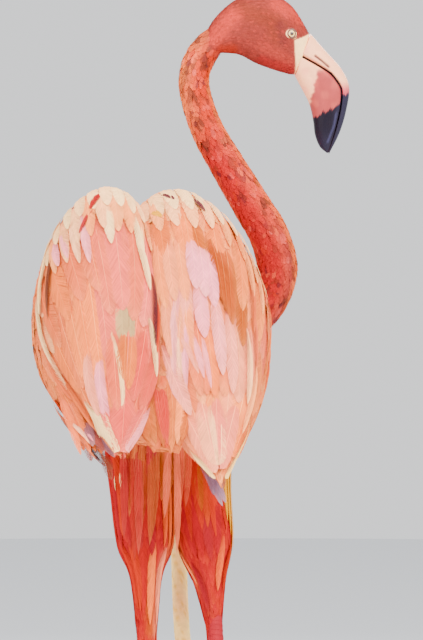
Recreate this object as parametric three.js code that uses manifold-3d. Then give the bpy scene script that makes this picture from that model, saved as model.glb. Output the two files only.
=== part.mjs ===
// An American flamingo, life size, standing on its left leg with the right one folded.
// Millimetres, +Z up. The bird's body faces -Y and its left side is +X; the neck sweeps
// to the bird's right and the head looks along -X, bill hanging down.
// The origin is on the floor, under the middle toe of the standing foot.
import * as THREE from "three";
import { ParametricGeometry } from "three/addons/geometries/ParametricGeometry.js";
import { mergeVertices } from "three/addons/utils/BufferGeometryUtils.js";
import Module from "manifold-3d";

const wasm = await Module();
wasm.setup();

// ---------------------------------------------------------------- driving dimensions
const GAP = 0.3; // air between neighbouring sub-parts
const WELD = 1e-3; // vertices closer than this are one

// The body's own middle plane: the standing leg is under it, so it is off the origin.
const SPINE_X = 12;
// Trunk: back line and keel line from the breast to the rump, and half the width.
const spineLine = (...points) => points.map(([y, z]) => [SPINE_X, y, z]);
const TRUNK = {
  top: spineLine([-194, 744], [-172, 812], [-100, 864], [-8, 850], [78, 786], [142, 714], [182, 664]),
  bottom: spineLine([-194, 738], [-174, 680], [-104, 638], [-12, 622], [70, 628], [136, 642], [182, 656]),
  half: [4, 72, 92, 92, 72, 44, 10],
};
// Folded wing, as distances from the middle plane: its crest beside the spine, its lower line at
// the flank and half its thickness across. It is widest above its middle towards the tip.
const WING = {
  top: [[16, -168, 770], [14, -144, 838], [22, -66, 884], [24, 30, 856], [26, 108, 788], [34, 166, 716], [41, 207, 652]],
  bottom: [[40, -168, 760], [60, -150, 702], [70, -70, 674], [68, 24, 658], [58, 104, 644], [50, 164, 636], [43, 210, 630]],
  half: [3, 40, 56, 57.5, 47, 34, 6],
  waist: [0.5, 0.5, 0.5, 0.5, 0.52, 0.62, 0.62],
  power: [1, 1, 1, 1, 1, 1.25, 1.25],
};
// How far each wing is held out from the middle plane, and how much lower its tip hangs.
const WING_POSE = { left: { spread: 1, droop: 0 }, right: { spread: 1.18, droop: 27 } };
// Dark flight feathers that show under the lower edge of each wing: a flat blade each.
const PRIMARIES = {
  left: { path: [[102, 60, 674], [96, 110, 660], [83, 160, 643], [70, 196, 626]], side: [-0.62, 0, -0.78] },
  right: { path: [[-52, 60, 648], [-46, 110, 640], [-38, 160, 624], [-34, 206, 604]], side: [-0.69, 0, -0.72] },
};
const PRIMARY_SIZE = { across: [10, 17, 20, 13], deep: [2, 4, 4, 1.6] };
const TAIL = {
  top: spineLine([146, 704], [182, 672], [206, 640]),
  bottom: spineLine([146, 668], [178, 646], [202, 630]),
  half: [22, 22, 13],
};
// Neck: centre line from inside the breast up to the nape, and its radius, evenly spaced.
const NECK = {
  path: [
    [0, -140, 752], [-14, -196, 744], [-52, -236, 733], [-98, -244, 735], [-134, -224, 757], [-150, -206, 795],
    [-141, -193, 832], [-120, -182, 866], [-95, -172, 905], [-70, -162, 947], [-57, -155, 990], [-63, -151, 1026],
    [-80, -150, 1042],
  ],
  radius: [44, 38, 29, 25, 23, 21.8, 21, 20, 18.5, 17, 16, 17, 13],
  cuts: [0.37, 0.68, 0.955], // where it is parted into three lengths and from the head
};
// Head and bill lie in the plane Y = HEAD_Y. Each line runs from the nape to the tip.
const HEAD_Y = -150;
const flatLine = (...points) => points.map(([x, z]) => [x, HEAD_Y, z]);
const HEAD = {
  top: flatLine([-64, 1034], [-78, 1058], [-100, 1077], [-128, 1085], [-156, 1072], [-176, 1043]),
  bottom: flatLine([-81, 1022], [-90, 1022], [-104, 1020], [-122, 1011], [-142, 1004], [-160, 999]),
  half: [15, 19.5, 22.5, 23, 20.5, 14.5],
};
const GAPE = flatLine([-166, 1019], [-181, 1011], [-197, 1001], [-207.5, 986], [-207, 966], [-202, 943], [-195.5, 921]);
const BILL = {
  culmen: flatLine([-177, 1042], [-193, 1024], [-209, 1006], [-217, 987], [-214, 963], [-207, 940], [-196.5, 919]),
  gonys: flatLine([-161, 999], [-168, 986], [-176, 970], [-180, 953], [-182, 938], [-187, 926], [-194.5, 919.5]),
  upperHalf: [14.5, 14, 13, 11.5, 10, 7.5, 2],
  lowerHalf: [13.5, 14, 15, 15, 12.5, 8.5, 2],
};
const EYE = { x: -156, z: 1042, radius: 6.2, stand: 16.4 }; // stand: centre from the head's mid plane

// Legs: feathered thigh, bare shank, ankle knob and tarsus, each along its own centre line.
const LEGS = {
  left: {
    thigh: {
      path: [[18, -62, 668], [13, -46, 626], [10, -28, 578], [9, -9, 530], [9.5, 2, 499], [10, 14, 446]],
      across: [36, 34, 32, 28.5, 16.5, 10.5], deep: [40, 40, 36, 31, 18, 11.5],
    },
    shank: { path: [[10, 2, 490], [10, 14, 440], [9.5, 29, 342]], across: [9.5, 9, 8.5], deep: [9.5, 9, 9] },
    ankle: { path: [[10, 28, 342], [9.5, 33, 322], [8.5, 32, 302]], across: [9, 12.5, 9], deep: [9.5, 14, 9.5] },
    tarsus: { path: [[9, 31, 312], [5, 28, 160], [1, 25, 12]], across: [8.5, 7.4, 8.5], deep: [9, 7.6, 9] },
  },
  right: {
    thigh: {
      path: [[-50, -62, 668], [-49, -48, 622], [-49, -28, 574], [-51, -9, 528], [-54, 4, 492], [-56, 20, 452]],
      across: [36, 33, 30, 27.5, 16, 8.5], deep: [40, 39, 35, 30, 18, 10],
    },
    shank: { path: [[-55, 8, 490], [-56.5, 28, 437], [-47, 66, 350]], across: [7.8, 7.6, 8.2], deep: [9, 8.6, 9] },
    ankle: { path: [[-48, 61, 358], [-42, 78, 331], [-35, 62, 342]], across: [8.5, 12, 8.5], deep: [9, 12.5, 8.5] },
    tarsus: { path: [[-35, 66, 338], [-30.5, -28, 434], [-37, -124, 534]], across: [8, 7.8, 8], deep: [8.5, 7.6, 8.5] },
  },
};
// Feet: toe lengths from the pad, toe half sizes and the web's rake back from the toe tips.
const FOOT = {
  sunk: 0.9, // how much of each toe's underside is flattened into the sole
  toes: { middle: 88, inner: 76, outer: 82 },
  halfWidth: [8, 5.6, 5, 3.4],
  halfHeight: [7.4, 5.4, 4.6, 3.2],
  hallux: 20,
  claw: 10,
  webThick: 2.4,
  webReach: 0.86, // share of the toe's length that the web joins
};

const COLOURS = {
  trunk: 0xe88a6c, wing: 0xf0b195, primaries: 0x4b4350, tail: 0xe7a383, neck: 0xd8563f, head: 0xd8604f,
  bill: 0xf2dcc4, eye: 0xf2dfa0, thigh: 0xd84b36, leg: 0xe8b184, foot: 0xd9a27a, claw: 0x3a3236,
};

// ---------------------------------------------------------------- curves and lofts
/** A smooth value through evenly spaced keys, at t from 0 to 1. */
function along(keys, t) {
  const at = Math.min(Math.max(t, 0), 1) * (keys.length - 1);
  const i = Math.min(Math.floor(at), keys.length - 2);
  const before = keys[i - 1] ?? 2 * keys[i] - keys[i + 1];
  const after = keys[i + 2] ?? 2 * keys[i + 1] - keys[i];
  const [slopeA, slopeB] = [(keys[i + 1] - before) / 2, (after - keys[i]) / 2];
  const u = at - i;
  const rise = keys[i + 1] - keys[i];
  return keys[i] + slopeA * u + (3 * rise - 2 * slopeA - slopeB) * u * u + (slopeA + slopeB - 2 * rise) * u ** 3;
}

/** A smooth point through evenly spaced [x, y, z] keys. */
const pointAlong = (keys, t) => new THREE.Vector3(...[0, 1, 2].map((k) => along(keys.map((p) => p[k]), t)));

/** The direction of a line of keys at t. */
const headingAlong = (keys, t) =>
  pointAlong(keys, Math.min(t + 0.01, 1)).sub(pointAlong(keys, Math.max(t - 0.01, 0))).normalize();

/** Rows of a closed loft: row 0 and the last row shrink to a point, so that both ends are capped. */
function capped(v, steps) {
  const row = v * steps;
  const t = Math.min(Math.max((row - 1) / (steps - 2), 0), 1);
  return { t, shrink: Math.min(1, row, steps - row) };
}

/** Stations that crowd towards both ends, where a blunt shape turns fastest. */
const crowded = (t) => (1 - Math.cos(Math.PI * t)) / 2;

/**
 * A closed loft between a top line and a bottom line, half as wide as `half` says and widest at `waist`
 * of its height. A power of 1 makes each section an ellipse; more makes it lean and less makes it boxy.
 */
function hull({ top, bottom, half, side = [1, 0, 0], waist = [0.5, 0.5], power = [1, 1], sides = 24, steps = 22 }) {
  const across = new THREE.Vector3(...side);
  const place = (u, v, target) => {
    const { t: even, shrink } = capped(v, steps);
    const t = crowded(even);
    const high = pointAlong(top, t);
    const low = pointAlong(bottom, t);
    const rise = high.clone().sub(low);
    const way = rise.clone().normalize();
    const lateral = across.clone().addScaledVector(way, -across.dot(way)).normalize();
    const round = (x) => Math.sign(x) * Math.abs(x) ** along(power, t);
    const s = round(Math.sin(2 * Math.PI * u));
    const c = round(Math.cos(2 * Math.PI * u));
    const widest = along(waist, t);
    target.copy(low).addScaledVector(rise, widest);
    target.addScaledVector(rise, shrink * s * (s > 0 ? 1 - widest : widest));
    target.addScaledVector(lateral, shrink * c * along(half, t));
  };
  return weld(new ParametricGeometry(place, sides, steps));
}

/** A closed tube along a path, `halfAcross` wide and `halfDeep` deep. */
function limb({ path, halfAcross, halfDeep = halfAcross, side = [1, 0, 0], sides = 12, steps = 12 }) {
  const across = new THREE.Vector3(...side);
  const place = (u, v, target) => {
    const { t, shrink } = capped(v, steps);
    const heading = headingAlong(path, t);
    const lateral = across.clone().addScaledVector(heading, -across.dot(heading)).normalize();
    const deep = heading.clone().cross(lateral);
    target.copy(pointAlong(path, t));
    target.addScaledVector(lateral, shrink * Math.cos(2 * Math.PI * u) * along(halfAcross, t));
    target.addScaledVector(deep, shrink * Math.sin(2 * Math.PI * u) * along(halfDeep, t));
  };
  return weld(new ParametricGeometry(place, sides, steps));
}

/** Shared vertices only, with no face of no width, and faces pointing out. */
function weld(geometry) {
  const bare = new THREE.BufferGeometry().setAttribute("position", geometry.getAttribute("position"));
  bare.setIndex(geometry.index);
  const merged = mergeVertices(bare, WELD);
  const faces = [];
  for (let i = 0; i < merged.index.count; i += 3) {
    const [a, b, c] = [0, 1, 2].map((k) => merged.index.getX(i + k));
    if (a !== b && b !== c && c !== a) faces.push(a, b, c);
  }
  merged.setIndex(faces);
  return volumeOf(merged) < 0 ? turned(merged) : merged;
}

function volumeOf(geometry) {
  const at = (i) => new THREE.Vector3().fromBufferAttribute(geometry.getAttribute("position"), geometry.index.getX(i));
  let sum = 0;
  for (let i = 0; i < geometry.index.count; i += 3) sum += at(i).dot(at(i + 1).cross(at(i + 2))) / 6;
  return sum;
}

function turned(geometry) {
  const index = Array.from(geometry.index.array);
  for (let i = 0; i < index.length; i += 3) [index[i + 1], index[i + 2]] = [index[i + 2], index[i + 1]];
  return geometry.setIndex(index);
}

// ---------------------------------------------------------------- joining and cutting
function solid(geometry) {
  return new wasm.Manifold(
    new wasm.Mesh({
      numProp: 3,
      vertProperties: new Float32Array(geometry.getAttribute("position").array),
      triVerts: new Uint32Array(geometry.index.array),
    }),
  );
}

/** The same shape, larger all round by a gap: what is cut from its neighbours. */
function grown(geometry, by = GAP) {
  const wide = geometry.clone();
  wide.computeVertexNormals();
  const [places, normals] = [wide.getAttribute("position"), wide.getAttribute("normal")];
  for (let i = 0; i < places.count; i++) {
    places.setXYZ(
      i,
      places.getX(i) + by * normals.getX(i),
      places.getY(i) + by * normals.getY(i),
      places.getZ(i) + by * normals.getZ(i),
    );
  }
  return solid(wide);
}

/** A shape less its neighbours, each with the gap. */
const cutClear = (geometry, ...neighbours) => neighbours.reduce((left, n) => left.subtract(grown(n)), solid(geometry));

function geometryOf(manifold) {
  const { vertProperties, triVerts } = manifold.getMesh();
  const geometry = new THREE.BufferGeometry();
  geometry.setAttribute("position", new THREE.BufferAttribute(new Float32Array(vertProperties), 3));
  return geometry.setIndex(new THREE.BufferAttribute(new Uint32Array(triVerts), 1));
}

/** The largest piece of a cut solid: slivers that a cut leaves loose are dropped. */
function mainPiece(manifold) {
  return manifold.decompose().reduce((best, piece) => (piece.volume() > best.volume() ? piece : best));
}

const flamingo = new THREE.Group();

function add(name, shape, colour, { roughness = 0.8, parent = flamingo } = {}) {
  const geometry = shape.isBufferGeometry ? shape : geometryOf(mainPiece(shape));
  const mesh = new THREE.Mesh(geometry, new THREE.MeshStandardMaterial({ color: colour, roughness, metalness: 0 }));
  mesh.name = name;
  parent.add(mesh);
}

// ---------------------------------------------------------------- trunk, wings and tail
const SIDES = { left: 1, right: -1 };

const trunk = hull({ ...TRUNK, sides: 20, steps: 17 });
add("trunk", trunk, COLOURS.trunk);

/** A wing's line set out from the middle plane to one side, its tip lowered. */
function posed(line, side) {
  const { spread, droop } = WING_POSE[side];
  return line.map(([x, y, z], i) => [SPINE_X + SIDES[side] * spread * x, y, z - droop * (i / (line.length - 1)) ** 2]);
}

const wings = {};
const primaries = {};
for (const [side, sign] of Object.entries(SIDES)) {
  const half = WING.half.map((width) => width * WING_POSE[side].spread);
  wings[side] = hull({ ...WING, top: posed(WING.top, side), bottom: posed(WING.bottom, side), half, sides: 20, steps: 18 });
  const outside = cutClear(wings[side], trunk).trimByPlane([sign, 0, 0], sign * SPINE_X + GAP / 2);
  add(`wing_${side}`, outside, COLOURS.wing);
  const { path, side: lie } = PRIMARIES[side];
  const { across: halfAcross, deep: halfDeep } = PRIMARY_SIZE;
  primaries[side] = limb({ path, side: lie, halfAcross, halfDeep, sides: 10, steps: 10 });
  add(`primaries_${side}`, cutClear(primaries[side], trunk, wings[side]), COLOURS.primaries);
}
const tail = hull({ ...TAIL, power: [0.8, 0.8], sides: 14, steps: 9 });
add("tail", cutClear(tail, trunk, wings.left, wings.right), COLOURS.tail);

// ---------------------------------------------------------------- neck, head and bill
const neck = limb({ path: NECK.path, halfAcross: NECK.radius, side: [0, 1, 0], sides: 12, steps: 36 });
const neckClear = cutClear(neck, trunk, wings.left, wings.right);

/** Keeps what lies beyond the plane across the neck at t, or before it. */
function parted(shape, t, beyond) {
  const heading = headingAlong(NECK.path, t).multiplyScalar(beyond ? 1 : -1);
  return shape.trimByPlane(heading.toArray(), heading.dot(pointAlong(NECK.path, t)) + GAP / 2);
}
["neck_lower", "neck_middle", "neck_upper"].forEach((name, i) => {
  const before = parted(neckClear, NECK.cuts[i], false);
  add(name, i > 0 ? parted(before, NECK.cuts[i - 1], true) : before, COLOURS.neck);
});

const eyes = {};
for (const [side, sign] of Object.entries(SIDES)) {
  const ball = new THREE.SphereGeometry(EYE.radius, 12, 8).translate(EYE.x, HEAD_Y - sign * EYE.stand, EYE.z);
  eyes[side] = weld(ball);
  add(`eye_${side}`, eyes[side], COLOURS.eye, { roughness: 0.1 });
}
const skull = hull({ ...HEAD, side: [0, 1, 0], sides: 16, steps: 14 });
const nape = parted(solid(skull).add(solid(neck)), NECK.cuts.at(-1), true);
add("head", nape.subtract(grown(eyes.left)).subtract(grown(eyes.right)), COLOURS.head);

const jaw = { side: [0, 1, 0], power: [0.85, 0.85], sides: 12, steps: 12 };
const upperBill = hull({ top: BILL.culmen, bottom: GAPE, half: BILL.upperHalf, waist: [0.16, 0.16], ...jaw });
const lowerBill = hull({ top: GAPE, bottom: BILL.gonys, half: BILL.lowerHalf, waist: [0.86, 0.86], ...jaw });
add("bill_upper", cutClear(upperBill, skull, eyes.left, eyes.right), COLOURS.bill, { roughness: 0.4 });
add("bill_lower", cutClear(lowerBill, skull, upperBill), COLOURS.bill, { roughness: 0.4 });

// ---------------------------------------------------------------- legs
const legPart = ({ path, across, deep }, sides, steps) => limb({ path, halfAcross: across, halfDeep: deep, sides, steps });
const body = [trunk, wings.left, wings.right, primaries.left, primaries.right, tail];
const leathery = { roughness: 0.6 };
const thighs = {};
for (const [side, leg] of Object.entries(LEGS)) {
  thighs[side] = legPart(leg.thigh, 14, 12);
  const shank = legPart(leg.shank, 8, 6);
  const ankle = legPart(leg.ankle, 10, 7);
  const beside = side === "right" ? [thighs.left] : [];
  add(`thigh_${side}`, cutClear(thighs[side], ...body, ...beside), COLOURS.thigh);
  add(`shank_${side}`, cutClear(shank, thighs[side], ankle), COLOURS.leg, leathery);
  add(`ankle_${side}`, ankle, COLOURS.leg, leathery);
  const tarsus = cutClear(legPart(leg.tarsus, 8, 8), ankle, shank, thighs.left, thighs.right ?? ankle);
  add(`tarsus_${side}`, side === "left" ? tarsus.trimByPlane([0, 0, 1], 13) : tarsus, COLOURS.leg, leathery);
}

// ---------------------------------------------------------------- feet
/** A foot in its own frame: the toes point along -Y from the pad, the sole is the plane Z = 0. */
function makeFoot(side, { spread, place, tilt = [0, 0, 0] }) {
  const foot = new THREE.Group();
  foot.position.set(...place);
  foot.rotation.set(...tilt);
  flamingo.add(foot);
  const inner = SIDES[side] * -1; // the inner toe lies towards the other leg
  const bearing = { middle: 0, inner: inner * spread, outer: -inner * spread };
  const reach = (name, distance, z) => {
    const turn = bearing[name];
    return [Math.sin(turn) * distance, -Math.cos(turn) * distance, z];
  };
  const flat = { sides: 8, steps: 6 };
  const toes = {};
  const claws = {};
  for (const [name, length] of Object.entries(FOOT.toes)) {
    toes[name] = limb({
      path: FOOT.halfHeight.map((half, i) => reach(name, [-6, 0.3 * length, 0.66 * length, length][i], half - FOOT.sunk)),
      halfAcross: FOOT.halfWidth,
      halfDeep: FOOT.halfHeight,
      ...flat,
    });
    claws[name] = limb({
      path: [reach(name, length - 3, 2.9), reach(name, length + 4, 2.7), reach(name, length + FOOT.claw, 1.2)],
      halfAcross: [3, 2.4, 0.7], halfDeep: [2.6, 2.3, 0.7], sides: 6, steps: 4,
    });
  }
  const hallux = limb({
    path: [[0, 2, 8], [inner * 3, 10, 5], [inner * 5, FOOT.hallux, 1.7]],
    halfAcross: [4, 3.6, 2.2], halfDeep: [4, 3.4, 2.2], sides: 8, steps: 5,
  });
  const onSole = (shape) => shape.trimByPlane([0, 0, 1], 0);
  const addFoot = (name, shape, colour) => add(`${name}_${side}`, onSole(shape), colour, { roughness: 0.7, parent: foot });
  const seat = tarsusEnd(foot, side);
  addFoot("toe_middle", solid(toes.middle).subtract(seat), COLOURS.foot);
  addFoot("toe_inner", cutClear(toes.inner, toes.middle).subtract(seat), COLOURS.foot);
  addFoot("toe_outer", cutClear(toes.outer, toes.middle, toes.inner).subtract(seat), COLOURS.foot);
  addFoot("toe_hind", cutClear(hallux, toes.middle, toes.inner, toes.outer).subtract(seat), COLOURS.foot);
  for (const name of Object.keys(FOOT.toes)) addFoot(`claw_${name}`, cutClear(claws[name], toes[name]), COLOURS.claw);
  for (const name of ["inner", "outer"]) {
    const web = webBetween(bearing[name], FOOT.toes[name]);
    addFoot(`web_${name}`, cutClear(web, toes.middle, toes[name]), COLOURS.foot);
  }
}

/** The web from the middle toe to one beside it, its front edge curved back. */
function webBetween(turn, length) {
  const tip = (angle, distance) => [Math.sin(angle) * distance, -Math.cos(angle) * distance];
  const [midTip, sideTip] = [tip(0, FOOT.toes.middle * FOOT.webReach), tip(turn, length * FOOT.webReach)];
  const hollow = tip(turn / 2, length * 0.66);
  const outline = new THREE.Shape();
  outline.moveTo(...tip(turn / 2, 6));
  outline.lineTo(...midTip);
  outline.quadraticCurveTo(...hollow, ...sideTip);
  outline.closePath();
  const plate = new THREE.ExtrudeGeometry(outline, { depth: FOOT.webThick, bevelEnabled: false, curveSegments: 8 });
  return weld(plate);
}

/** The end of a tarsus in a foot's own frame, with the gap, to cut a seat in the pad. */
function tarsusEnd(foot, side) {
  const tube = legPart(LEGS[side].tarsus, 8, 8);
  foot.updateMatrix();
  const trimmed = side === "left" ? grown(tube).trimByPlane([0, 0, 1], 13 - GAP) : grown(tube);
  return solid(geometryOf(trimmed).applyMatrix4(foot.matrix.clone().invert()));
}

makeFoot("left", { spread: THREE.MathUtils.degToRad(33), place: [0, 27, 0] });
makeFoot("right", {
  spread: THREE.MathUtils.degToRad(17),
  place: [-37, -131, 529],
  tilt: [THREE.MathUtils.degToRad(12), 0, 0],
});

export default flamingo;
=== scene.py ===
"""An American flamingo at life size: one skin, a coat of barbed feathers, a horn bill and wet eyes.

The forms of the body are swept shapes, given in millimetres from the middle of the standing foot, +Z up.
The bird faces -Y, its left side is +X, and its neck sweeps to its right, where the head looks along -X.
"""

import logging
import math
from collections.abc import Callable
from dataclasses import dataclass, field, replace
from enum import Enum

import bpy
import numpy as np
from mathutils import Matrix, Vector
from mathutils.bvhtree import BVHTree
from mathutils.kdtree import KDTree


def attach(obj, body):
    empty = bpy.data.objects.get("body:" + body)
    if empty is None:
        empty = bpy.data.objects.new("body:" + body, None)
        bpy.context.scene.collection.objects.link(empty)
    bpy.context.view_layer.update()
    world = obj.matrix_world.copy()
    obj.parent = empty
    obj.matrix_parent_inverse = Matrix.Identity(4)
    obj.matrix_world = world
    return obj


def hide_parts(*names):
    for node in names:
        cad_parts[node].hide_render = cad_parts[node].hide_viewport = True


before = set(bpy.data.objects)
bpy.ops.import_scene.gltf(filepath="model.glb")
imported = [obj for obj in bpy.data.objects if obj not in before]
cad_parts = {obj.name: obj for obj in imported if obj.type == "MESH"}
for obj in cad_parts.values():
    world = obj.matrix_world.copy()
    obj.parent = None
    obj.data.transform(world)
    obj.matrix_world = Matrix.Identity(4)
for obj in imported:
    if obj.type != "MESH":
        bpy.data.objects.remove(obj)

MM = 0.001
SEED = 11
log = logging.getLogger("flamingo")
Place = tuple[float, float, float]
Line = tuple[Place, ...]
Spot = tuple[float, float]
Array = np.ndarray
Pair = tuple[Array, Array]
Mesh, Object, Random = bpy.types.Mesh, bpy.types.Object, np.random.Generator


# ---------------------------------------------------------------- small tools
def along(keys: "Line | tuple[float, ...] | Array", t: Array) -> Array:
    """A smooth value through evenly spaced keys, carried on straight beyond either end.

    Args:
        keys: Numbers or points, evenly spaced from t = 0 to t = 1.
        t: Where to read it, any shape.

    Returns:
        The values at t, with the shape of t and then of one key.
    """
    keys = np.asarray(keys, float)
    last = len(keys) - 1
    padded = np.concatenate([2 * keys[:1] - keys[1:2], keys, 2 * keys[-1:] - keys[-2:-1]])
    inside = np.clip(t, 0, 1)
    i = np.minimum((inside * last).astype(int), last - 1)
    u = inside * last - i
    over = (t - inside) * last
    if keys.ndim > 1:
        u, over = u[..., None], over[..., None]
    p0, p1, p2, p3 = (padded[i + k] for k in range(4))
    value = p1 + 0.5 * u * ((p2 - p0) + u * ((2 * p0 - 5 * p1 + 4 * p2 - p3) + u * (3 * (p1 - p2) + p3 - p0)))
    return value + over * np.where(over > 0, (p3 - p1) / 2, (p2 - p0) / 2)


def unit(v: Array) -> Array:
    """The same directions at length one."""
    return v / np.maximum(np.linalg.norm(v, axis=-1, keepdims=True), 1e-12)


def dot(a: Array, b: Array) -> Array:
    """Dot product over the last axis, which is kept."""
    return np.sum(a * b, axis=-1, keepdims=True)


def ramp(x: Array, start: float, end: float) -> Array:
    """Rises smoothly from 0 at start to 1 at end."""
    y = np.clip((x - start) / (end - start), 0, 1)
    return y * y * (3 - 2 * y)


def shade(code: str) -> Array:
    """An sRGB hex colour as three numbers from 0 to 1."""
    return np.array([int(code[i : i + 2], 16) / 255 for i in (1, 3, 5)])


def linear(colour: "str | Array") -> Array:
    """The linear values of an sRGB colour, which is how Blender stores it."""
    srgb = shade(colour) if isinstance(colour, str) else np.clip(colour, 0, 1)
    return np.where(srgb <= 0.04045, srgb / 12.92, ((srgb + 0.055) / 1.055) ** 2.4)


def mix(a: Array, b: Array, share: Array) -> Array:
    """Colours a turned towards b by a share for each point."""
    return a + (b - a) * np.asarray(share)[..., None]


def layered(p: Array, ground: str, *layers: "tuple[str, Array | float]") -> Array:
    """A ground colour for each point, with each further colour mixed in by its share."""
    colours = np.broadcast_to(shade(ground), p.shape)
    for hue, share in layers:
        colours = mix(colours, shade(hue), share)
    return colours


def add_node(
    tree: bpy.types.NodeTree, kind: str, inputs: dict | None = None, **settings: object
) -> bpy.types.Node:
    """Adds one node with its settings, values and links.

    Args:
        tree: The node tree.
        kind: The node's type name.
        inputs: Socket name or number to a value, or to the output that feeds it.
        **settings: The node's own properties.

    Returns:
        The new node.
    """
    made = tree.nodes.new(kind)
    for name, value in settings.items():
        setattr(made, name, value)
    for socket, value in (inputs or {}).items():
        if isinstance(value, bpy.types.NodeSocket):
            tree.links.new(value, made.inputs[socket])
        else:
            made.inputs[socket].default_value = value
    return made


# ---------------------------------------------------------------- the forms of the body
class Form:
    """A closed surface swept along t from 0 to 1, with u once round it."""

    def point(self, u: Array, t: Array, inset: float = 0.0) -> Array:
        """The points in millimetres at (u, t), shrunk inwards by inset."""
        raise NotImplementedError

    def turned(self, across: Array) -> Array:
        """The u of a place across the back of the form: 0 at its middle, 1 and -1 at its edges."""
        raise NotImplementedError

    def spots(self, *places: Spot) -> Line:
        """A line over the back of the form, from places given across it and along it."""
        across, t = np.array(places, float).T
        return tuple((x, y, z) for x, y, z in self.point(self.turned(across), t).tolist())

    def shell(self, sides: int, steps: int, inset: float = 0.0, crowd: bool = True) -> Pair:
        """A closed mesh of the form.

        Args:
            sides: Faces round it.
            steps: Faces along it.
            inset: How far it is shrunk inwards.
            crowd: Whether the rows crowd towards both ends.

        Returns:
            Its points in millimetres and its faces, the two poles included.
        """
        t = np.linspace(0, 1, steps + 1)
        t = (1 - np.cos(np.pi * t)) / 2 if crowd else t
        u = np.arange(sides) / sides
        rings = self.point(np.tile(u, (steps + 1, 1)), np.tile(t[:, None], (1, sides)), inset)
        points = np.concatenate([rings.reshape(-1, 3), rings[:1].mean(1), rings[-1:].mean(1)])
        i, j = np.meshgrid(np.arange(steps), np.arange(sides), indexing="ij")
        a, b = i * sides + j, i * sides + (j + 1) % sides
        quads = np.stack([a, b, b + sides, a + sides], -1).reshape(-1, 4)
        j, k = np.arange(sides), (np.arange(sides) + 1) % sides
        first, last = len(points) - 2, len(points) - 1
        top = steps * sides
        caps = np.concatenate(
            [
                np.stack([k, j, j * 0 + first, j * 0 - 1], -1),
                np.stack([top + j, top + k, j * 0 + last, j * 0 - 1], -1),
            ]
        )
        faces = np.concatenate([quads, caps])
        a, b, c = (points[quads[:, n]] for n in range(3))
        outward = np.sum(np.cross(b - a, c - a) * (a - points.mean(0)))
        return points, faces if outward > 0 else faces_turned(faces)


def faces_turned(faces: Array) -> Array:
    """The same faces seen from the other side; a -1 marks a triangle's missing corner."""
    turned = faces[:, [1, 0, 3, 2]]
    three = faces[:, 3] < 0
    turned[three] = faces[three][:, [1, 0, 2, 3]]
    return turned


@dataclass(frozen=True)
class Hull(Form):
    """A sweep between a top line and a bottom line, widest at its waist."""

    top: Line
    bottom: Line
    half: tuple[float, ...]
    side: Place = (1.0, 0.0, 0.0)
    waist: tuple[float, ...] = (0.5, 0.5)
    power: tuple[float, ...] = (1.0, 1.0)

    def turned(self, across: Array) -> Array:
        """The u of a place across the top of the hull, 1 on the side its `side` points to."""
        return 0.25 * (1 - across)

    def point(self, u: Array, t: Array, inset: float = 0.0) -> Array:
        """The points in millimetres at (u, t), shrunk inwards by inset."""
        low = along(self.bottom, t)
        rise = along(self.top, t) - low
        height = np.linalg.norm(rise, axis=-1)
        way = unit(rise)
        side = np.asarray(self.side)
        lateral = unit(side - dot(way, side) * way)
        power = along(self.power, t)
        s, c = np.sin(2 * np.pi * u), np.cos(2 * np.pi * u)
        s, c = (np.sign(x) * np.abs(x) ** power for x in (s, c))
        widest = along(self.waist, t)
        reach = np.where(s > 0, 1 - widest, widest) * height
        reach = np.maximum(reach - inset, 0.3 * reach)
        half = along(self.half, t)
        half = np.maximum(half - inset, 0.3 * half)
        return low + rise * widest[..., None] + way * (s * reach)[..., None] + lateral * (c * half)[..., None]


@dataclass(frozen=True)
class Limb(Form):
    """A tube along a path, oval across."""

    path: Line
    across: tuple[float, ...]
    deep: tuple[float, ...]
    side: Place = (1.0, 0.0, 0.0)
    least: float = 0.0

    def turned(self, across: Array) -> Array:
        """The u of a place across the back of the limb, 1 on the side its `side` points to."""
        return 0.75 + 0.25 * across

    def point(self, u: Array, t: Array, inset: float = 0.0) -> Array:
        """The points in millimetres at (u, t), shrunk inwards by inset."""
        heading = unit(along(self.path, t + 0.01) - along(self.path, t - 0.01))
        side = np.asarray(self.side)
        lateral = unit(side - dot(heading, side) * heading)
        downward = np.cross(heading, lateral)
        radii = (np.maximum(along(keys, t), self.least) for keys in (self.across, self.deep))
        across, deep = (np.maximum(r - inset, 0.3 * r) for r in radii)
        c, s = np.cos(2 * np.pi * u) * across, np.sin(2 * np.pi * u) * deep
        return along(self.path, t) + lateral * c[..., None] + downward * s[..., None]


class Side(Enum):
    """The bird's own sides, with the sign of X on each."""

    LEFT = 1
    RIGHT = -1

    @property
    def word(self) -> str:
        """The side's name as it stands in piece names."""
        return self.name.lower()


SPINE_X = 12.0
HEAD_Y = -150.0
EYE_PLACE, EYE_RADIUS, EYE_STAND = (-154.5, 1041.5), 6.2, 16.2


def spine_line(*points: tuple[float, float]) -> Line:
    """A line in the body's own middle plane, from (y, z) pairs."""
    return tuple((SPINE_X, y, z) for y, z in points)


def face_line(*points: tuple[float, float]) -> Line:
    """A line in the head's middle plane, from (x, z) pairs."""
    return tuple((x, HEAD_Y, z) for x, z in points)


TRUNK = Hull(
    top=spine_line((-194, 744), (-172, 812), (-100, 864), (-8, 850), (78, 786), (142, 714), (182, 664)),
    bottom=spine_line((-194, 738), (-174, 680), (-104, 638), (-12, 622), (70, 628), (136, 642), (182, 656)),
    half=(4, 72, 92, 92, 72, 44, 10),
)
TAIL = Hull(
    top=spine_line((146, 704), (182, 672), (206, 640)),
    bottom=spine_line((146, 668), (178, 646), (202, 630)),
    half=(22, 22, 13),
    power=(0.8, 0.8),
)
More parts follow.
